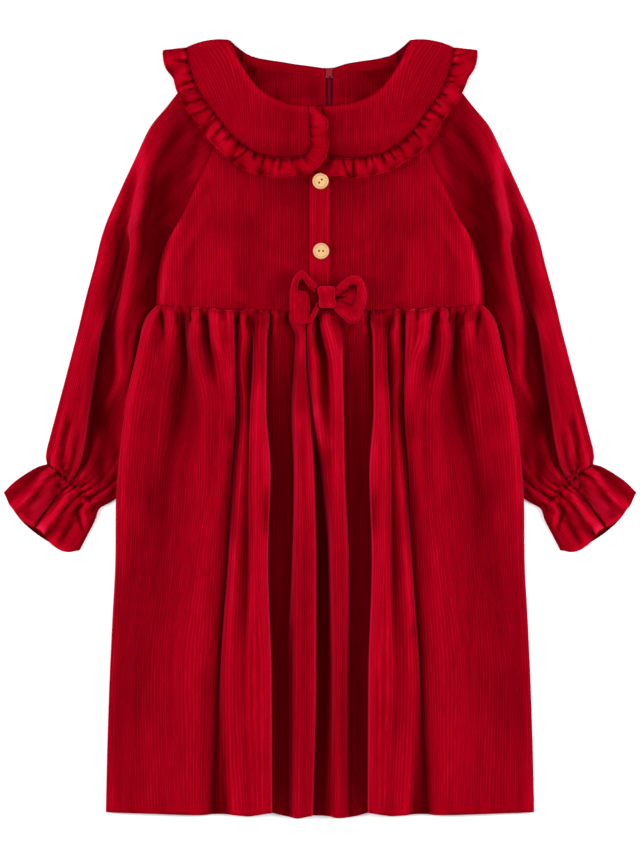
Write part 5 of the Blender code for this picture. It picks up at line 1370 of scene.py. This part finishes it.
def velvet(name, wale_depth=0.0005):
    """Ribbed velvet: uneven wales along the grain, a soft mottle, painted shade in folds and wale grooves,
    and painted highlights.
    """
    v = Finish(name, Sheen_Weight=0.52, Sheen_Roughness=0.35, Sheen_Tint=(1.0, 0.02, 0.05, 1.0),
               Specular_IOR_Level=0.0)
    across, along, plain = v.kept("nap")
    fold = v.node("ShaderNodeAttribute", {"attribute_name": "painted_fold_light"}, output="Fac")

    def varied(scale, detail=2.0, roughness=0.5):
        return v.noise(v.point(across * scale[0], along * scale[1]), 1.0, detail, roughness)

    stray = (varied(WANDER) - 0.5) * WALE_WANDERS
    turns = (across + stray) * (2 * math.pi / WALE) + varied(WIDTHS) * WALE_UNEVEN
    wave = turns.math("SINE", turns) * 0.5 + 0.5
    streak = varied(STREAKS, 3.0, 0.6)
    height = wave * (varied(HEIGHTS) * RIB_VARIES + RIB_LEAST) + (streak - 0.5) * STREAK_HEIGHT
    height = height * (1 - plain * PLAIN_FLAT)
    mottle = varied(MOTTLE, 3.0, 0.55)
    base = v.mixed(fold, SHADE_AND_MOTTLE_RED, CRIMSON)
    base = v.mixed((fold - OPEN_FROM) * OPEN_HIGHLIGHT, base, PAINTED_HIGHLIGHT_RED)
    base = v.mixed((height - RIB_LEAST) * RIB_HIGHLIGHT * fold, base, PAINTED_HIGHLIGHT_RED)
    shade = RIB_SHADE * (1 - height) + (MOTTLE_EVEN - mottle) * MOTTLE_SHADE
    base = v.mixed(shade * (1 - plain * PLAIN_EVEN), base, SHADE_AND_MOTTLE_RED)
    facing = v.node("ShaderNodeNewGeometry", output="Normal")
    upright = {0: facing, 1: (0, 0, 1)}
    up = v.node("ShaderNodeVectorMath", {"operation": "DOT_PRODUCT"}, upright, output="Value")
    steep = 1 - up.math("ABSOLUTE", up)
    rim_highlight = (steep - STEEP_FROM) * (STEEP_IN_FOLDS + (1 - STEEP_IN_FOLDS) * fold) * STEEP_HIGHLIGHT
    v.feed("Base Color", v.mixed(rim_highlight, base, PAINTED_HIGHLIGHT_RED))
    v.feed("Roughness", ROUGH_LEAST + mottle * ROUGH_VARIES)
    v.bump(height + varied(FUZZ, 2.0, 0.6) * FUZZ_HEIGHT, wale_depth)
    return v.material


VELVET = velvet("ribbed_velvet")
FACING_VELVET = velvet("facing_velvet", 0.0003)


# ---- sewing: from a pattern to a piece ----
# Painted light from the map: painted shade in folds, and painted highlights where the cloth stands proud.
SHADE_RANGE, SHADE_POWER = (0.10, 0.98), 1.35
OPEN_LEVEL, PROUD_LEVEL = 0.70, 0.30
LOW_RIM, LOW_RIM_Y = 0.6, (-150, -330)   # towards the hem the folds are rounder, their painted rim highlights less bright
# The bow's painted light all over, as the map leaves it out.
BOW_PAINTED_LIGHT = 0.92
RELIEFS = ((2.6, 1.1), (8.0, 3.2))       # reach and depth of the creases that get painted shade too
RELIEF_DARKENS, RELIEF_LIGHTENS = 1.2, 0.26


def painted_fold_light(p):
    """Painted light for each point of a pattern: 0, full painted shade, where the cloth lies deep in a
    fold, 1 in the open.
    """
    x, y = p.points[..., 0], p.points[..., 1]
    light, rim = read_map(sky, x, y), read_map(proud, x, y)
    if p.name.startswith("bow"):
        light, rim = np.full(light.shape, BOW_PAINTED_LIGHT), 0.0
    light = np.clip((light - SHADE_RANGE[0]) / (SHADE_RANGE[1] - SHADE_RANGE[0]), 0, 1)
    rim = rim * (1 - LOW_RIM * smooth(*LOW_RIM_Y, y))
    light = OPEN_LEVEL * light**SHADE_POWER + PROUD_LEVEL * rim * light
    for reach, depth in RELIEFS:
        steps = [max(1, int(round(reach / np.median(lengths_of(q)))))
                 for q in (p.points, p.points.swapaxes(0, 1))]
        relief = (p.points[..., 2] - evened(p.points[..., 2], *steps)) / depth
        light = light * np.exp(np.minimum(relief, 0) * RELIEF_DARKENS)
        light = light * (1 + RELIEF_LIGHTENS * np.clip(relief, 0, 1))
    return np.clip(light, 0, 1)


def write(mesh, name, kind, values):
    """Keeps values on the mesh, one at each point."""
    made = mesh.attributes.new(name, kind, "POINT")
    field = "vector" if kind == "FLOAT_VECTOR" else "value"
    made.data.foreach_set(field, np.ascontiguousarray(values, dtype=np.float32).ravel())


def link(name, data):
    """A new object in the scene."""
    made = bpy.data.objects.new(name, data)
    bpy.context.scene.collection.objects.link(made)
    return made


def mesh_piece(name, points, faces, material):
    """A smooth mesh that rides on the dress."""
    mesh = bpy.data.meshes.new(name)
    mesh.from_pydata((np.asarray(points) * MM).tolist(), [], faces)
    mesh.polygons.foreach_set("use_smooth", [True] * len(mesh.polygons))
    mesh.materials.append(material)
    piece = link(name, mesh)
    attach(piece, DRESS)
    return piece


def sew(p, material):
    """The mesh of one pattern, with the nap's coordinates and walls of its thickness."""
    n, m = p.points.shape[:2]
    k = (np.arange(n - 1)[:, None] * m + np.arange(m - 1)[None, :]).ravel()
    faces = np.stack([k, k + 1, k + m + 1, k + m], axis=-1)
    down = p.points[1:, :-1] - p.points[:-1, :-1]
    aside = p.points[:-1, 1:] - p.points[:-1, :-1]
    square = np.cross(aside, down)
    if square[..., 2].sum() < 0:
        faces = faces[:, ::-1]
    cloth = p.points.reshape(-1, 3)
    piece = mesh_piece(p.name + "_cloth", cloth, faces.tolist(), material)
    nap = np.stack([p.across * MM, p.along * MM, p.plain], axis=-1)
    write(piece.data, "nap", "FLOAT_VECTOR", nap)
    # The painted light and shade that the velvet's colour takes, with the piece's own painted strokes.
    write(piece.data, "painted_fold_light", "FLOAT", painted_fold_light(p) * (1 - p.shade))
    wall = piece.modifiers.new("wall", "SOLIDIFY")
    wall.thickness = p.thickness * MM
    wall.offset = 0.0
    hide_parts(p.name)
    width = float(np.median(lengths_of(p.points.swapaxes(0, 1)).sum(axis=0))) * MM


for p in patterns:
    if p.name.startswith("neck_facing"):
        sew(p, FACING_VELVET)
    else:
        sew(p, VELVET)


# ---- buttons and zip ----
BUTTON_PROFILE = rows(
    "r z",
    (0.0, 1.7), (5.3, 1.75), (5.8, 1.9), (6.15, 2.35), (6.5, 2.5), (6.9, 2.45), (7.3, 2.1),
    (7.5, 1.6), (7.5, 0.9), (7.2, 0.35), (6.6, 0.05), (0.0, 0.0),
)
BUTTONS = rows("name x y turn", ("button_top", 0.5, 230.0, 50), ("button_bottom", 1.0, 165.0, 0))
BUTTON_STEP, BUTTON_STEPS = 0.28, 96
TOP_POINTS = 5           # the profile's stretches that lie on top, from its middle out
HOLE_SPREAD, HOLE_RADIUS, HOLE_DEPTH, HOLE_EDGE = 1.9, 1.0, 1.4, 0.35
GROOVE_RADIUS, GROOVE_WIDTH, GROOVE_SHADE = 5.5, 0.3, 0.35
PALE_WOOD, BROWN_WOOD = (0.50, 0.30, 0.125), (0.37, 0.19, 0.06)
HOLE_SHADE_BROWN = (0.045, 0.014, 0.005)
WOOD_STREAKS, WOOD_CLOUDS = (900, 160), (180, 90)      # how fast they change, per metre
STREAK_FROM, STREAK_BROWN, CLOUD_BROWN = 0.35, 1.4, 0.6


def boxwood():
    """Pale turned wood: fine streaks of grain, with painted shade in the rim's groove and in the holes."""
    w = Finish("boxwood", Roughness=0.5, Specular_IOR_Level=0.35)
    across, along, deep = w.kept("turned")
    streak = w.point(across * WOOD_STREAKS[0], along * WOOD_STREAKS[1])
    streak = w.noise(streak, 1.0, 4.0, 0.6)
    cloud = w.noise(w.point(across * WOOD_CLOUDS[0], along * WOOD_CLOUDS[1], 3.0), 1.0)
    brown = (streak - STREAK_FROM) * STREAK_BROWN + (cloud - 0.5) * CLOUD_BROWN
    base = w.mixed(brown, PALE_WOOD, BROWN_WOOD)
    # Painted shade in the holes and the rim's groove.
    w.feed("Base Color", w.mixed(deep, base, HOLE_SHADE_BROWN))
    w.bump(streak, 0.00012, 0.5)
    return w.material


def button(name, x, y, turn, wood):
    """A turned button: a rim, a sunk middle and two holes."""
    profile = np.array(BUTTON_PROFILE)
    spots = spaced(lengths_of(profile), BUTTON_STEP, least=1)
    r, z = follow(range(len(profile)), profile, spots).T
    angles = np.linspace(0, 2 * math.pi, BUTTON_STEPS + 1)[:-1]
    u, v = r[:, None] * np.cos(angles), r[:, None] * np.sin(angles)
    top = np.arange(len(spots))[:, None] < np.searchsorted(spots, TOP_POINTS)
    to_hole = np.hypot(np.abs(u) - HOLE_SPREAD, v)
    hole = smooth(HOLE_RADIUS, HOLE_RADIUS - HOLE_EDGE, to_hole) * top
    groove = GROOVE_SHADE * swell(np.hypot(u, v), GROOVE_RADIUS, GROOVE_WIDTH) * top
    z = front_height(x, y) + PLY + CLOTH / 2 + GAP + z[:, None] - HOLE_DEPTH * hole
    c, s = math.cos(math.radians(turn)), math.sin(math.radians(turn))
    points = np.stack([x + u * c - v * s, y + u * s + v * c, z], axis=-1)
    n, m = u.shape
    faces = [(i * m + j, (i + 1) * m + j, (i + 1) * m + (j + 1) % m, i * m + (j + 1) % m)
             for i in range(n - 1) for j in range(m)]
    piece = mesh_piece(name + "_turned", points.reshape(-1, 3), faces, wood)
    # The third value is where the holes and the rim's groove get painted shade.
    kept = np.stack([v * MM, u * MM, np.clip(hole + groove, 0, 1)], axis=-1)
    write(piece.data, "turned", "FLOAT_VECTOR", kept)
    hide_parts(name)


WOOD = boxwood()
for spot in BUTTONS:
    button(spot.name, spot.x, spot.y, spot.turn, WOOD)

ZIP_ENDS = (118.0, 326.4)
COIL_HALF, COIL_HIGH, COIL_PITCH, WIRE = 1.5, 0.42, 1.35, 0.26
COIL_SIDES, COIL_TURN_STEPS = 6, 14
COIL_Z = 2.0             # middle of the coils above what the zip lies on
COIL_OVERLAP, COIL_HOOK = 0.25, 0.1      # each coil is moved in and widened by these, to hook
COIL_OFFSET = 0.5        # share of the pitch by which one coil runs ahead of the other


def zip_coil(nylon):
    """Two coils of nylon that hook into each other along the middle of the zip."""
    points, faces = [], []
    turns = (ZIP_ENDS[1] - ZIP_ENDS[0]) / COIL_PITCH
    t = np.linspace(0, turns, int(turns * COIL_TURN_STEPS))
    a, n = 2 * math.pi * t, len(t)
    for way, ahead_by in ((-1, 0), (1, COIL_OFFSET)):
        y = ZIP_ENDS[0] + (t + ahead_by) * COIL_PITCH
        x = ZIP_X + way * (COIL_HALF / 2 - COIL_OVERLAP) + (COIL_HALF / 2 + COIL_HOOK) * np.cos(a)
        line = np.stack([x, y, bed(ZIP_X, y) + COIL_Z + COIL_HIGH * np.sin(a)], axis=-1)
        ahead = unit(np.gradient(line, axis=0))
        aside = unit(np.cross(ahead, np.array([0.0, 1.0, 0.0])))
        over = np.cross(aside, ahead)
        first = len(points)
        for k in range(COIL_SIDES):
            b = 2 * math.pi * k / COIL_SIDES
            points.extend(line + WIRE * (math.cos(b) * aside + math.sin(b) * over))
            low, high = first + k * n, first + (k + 1) % COIL_SIDES * n
            faces += [(low + i, low + i + 1, high + i + 1, high + i) for i in range(n - 1)]
    piece = mesh_piece("zip_coil_nylon", points, faces, nylon)
    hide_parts("zip_coil")


PATCH_SIZE = 12          # of the worn patches, against the grain
WORN_FROM, WORN_BY, WORN_ROUGH = 0.35, 1.6, 0.2
SAME_SPOT, SAME_FACE = 0.02, 0.01        # millimetres, radians
ROUND_STEPS = 3


def dyed(name, colour, worn, roughness, shine, grain, step):
    """A dyed or lacquered surface with a fine grain and patches where it is worn."""
    d = Finish(name, Specular_IOR_Level=shine)
    place = d.node("ShaderNodeTexCoord", output="Object")
    fine = d.noise(place, grain, 2.0, 0.6)
    patches = d.noise(place, grain / PATCH_SIZE, 3.0)
    d.feed("Base Color", d.mixed((patches - WORN_FROM) * WORN_BY * fine, colour, worn))
    d.feed("Roughness", roughness + (fine - 0.5) * WORN_ROUGH)
    d.bump(fine, step, 0.6)
    return d.material


def rounded(name, node, body, material, edge):
    """The CAD part with its edges rounded."""
    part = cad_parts[node]
    mesh = part.data.copy()
    mesh.materials.clear()
    mesh.materials.append(material)
    whole = bmesh.new()
    whole.from_mesh(mesh)
    bmesh.ops.remove_doubles(whole, verts=whole.verts, dist=SAME_SPOT * MM)
    bmesh.ops.dissolve_limit(whole, angle_limit=SAME_FACE, verts=whole.verts, edges=whole.edges)
    whole.to_mesh(mesh)
    whole.free()
    mesh.polygons.foreach_set("use_smooth", [True] * len(mesh.polygons))
    piece = link(name, mesh)
    piece.matrix_world = part.matrix_world.copy()
    bevel = piece.modifiers.new("rounding", "BEVEL")
    bevel.width, bevel.segments, bevel.limit_method = edge * MM, ROUND_STEPS, "ANGLE"
    bevel.harden_normals = True
    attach(piece, body)
    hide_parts(node)


NYLON = dyed("zip_nylon", (0.13, 0.0004, 0.010), (0.19, 0.001, 0.02), 0.6, 0.05, 900, 0.00005)
zip_coil(NYLON)
LACQUER = dyed("zip_lacquer", (0.16, 0.004, 0.012), (0.20, 0.012, 0.02), 0.5, 0.06, 1400, 0.00003)
rounded("zip_slider_metal", "zip_slider", DRESS, LACQUER, 0.35)
rounded("zip_pull_tab_metal", "zip_pull_tab", PULL, LACQUER, 0.2)
WEAVE = dyed("zip_tape_weave", (0.05, 0.0002, 0.003), (0.07, 0.0004, 0.005), 0.9, 0.02, 2600, 0.0001)
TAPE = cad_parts["zip_tape"].data
TAPE.materials.clear()
TAPE.materials.append(WEAVE)


# ---- table, light, camera ----
TABLE_HALF, TABLE_TOP = 4.0, -0.0002     # in metres, as all sizes below


def table():
    plane = bpy.data.meshes.new("table")
    corners = [(i * TABLE_HALF, j * TABLE_HALF, TABLE_TOP) for i, j in ((-1, -1), (1, -1), (1, 1), (-1, 1))]
    plane.from_pydata(corners, [], [(0, 1, 2, 3)])
    paint = Finish("table_paint", Roughness=0.9, Specular_IOR_Level=0.1)
    paint.feed("Base Color", (0.86, 0.86, 0.86, 1))
    plane.materials.append(paint.material)
    link("table", plane)


def softbox(name, place, size, power):
    """A rectangular light that faces the middle of the table."""
    light = bpy.data.lights.new(name, "AREA")
    light.shape = "RECTANGLE"
    light.size, light.size_y = size
    light.energy = power
    lamp = link(name, light)
    lamp.location = place
    x, y, z = place
    lamp.rotation_euler = (math.acos(z / math.hypot(x, y, z)), 0, math.atan2(-y, -x) - math.pi / 2)


LENS = 200.0
SENSOR = 36.0
VIEW_HEIGHT = 0.7933     # how much of the table the view takes in, hem to neck
VIEW_MIDDLE = 0.00186
CLOTH_TOP = 0.007        # the height at which that holds


def camera():
    data = bpy.data.cameras.new("camera")
    data.lens, data.sensor_width, data.sensor_fit = LENS, SENSOR, "AUTO"
    eye = link("camera", data)
    eye.location = (0, VIEW_MIDDLE, CLOTH_TOP + VIEW_HEIGHT * LENS / SENSOR)
    bpy.context.scene.camera = eye


def daylight(strength):
    """Even white light from all around."""
    world = bpy.data.worlds.new("studio")
    world.use_nodes = True
    background = world.node_tree.nodes["Background"]
    background.inputs["Color"].default_value = (1, 1, 1, 1)
    background.inputs["Strength"].default_value = strength
    bpy.context.scene.world = world


table()
softbox("top_light", (0, 0.3, 5.2), (2.0, 2.0), 80)
softbox("right_light", (-2.4, 0.2, 1.7), (0.9, 2.4), 105)
softbox("left_light", (2.4, 0.2, 1.7), (0.9, 2.4), 105)
camera()
daylight(0.35)
bpy.context.scene.view_settings.view_transform = "Standard"
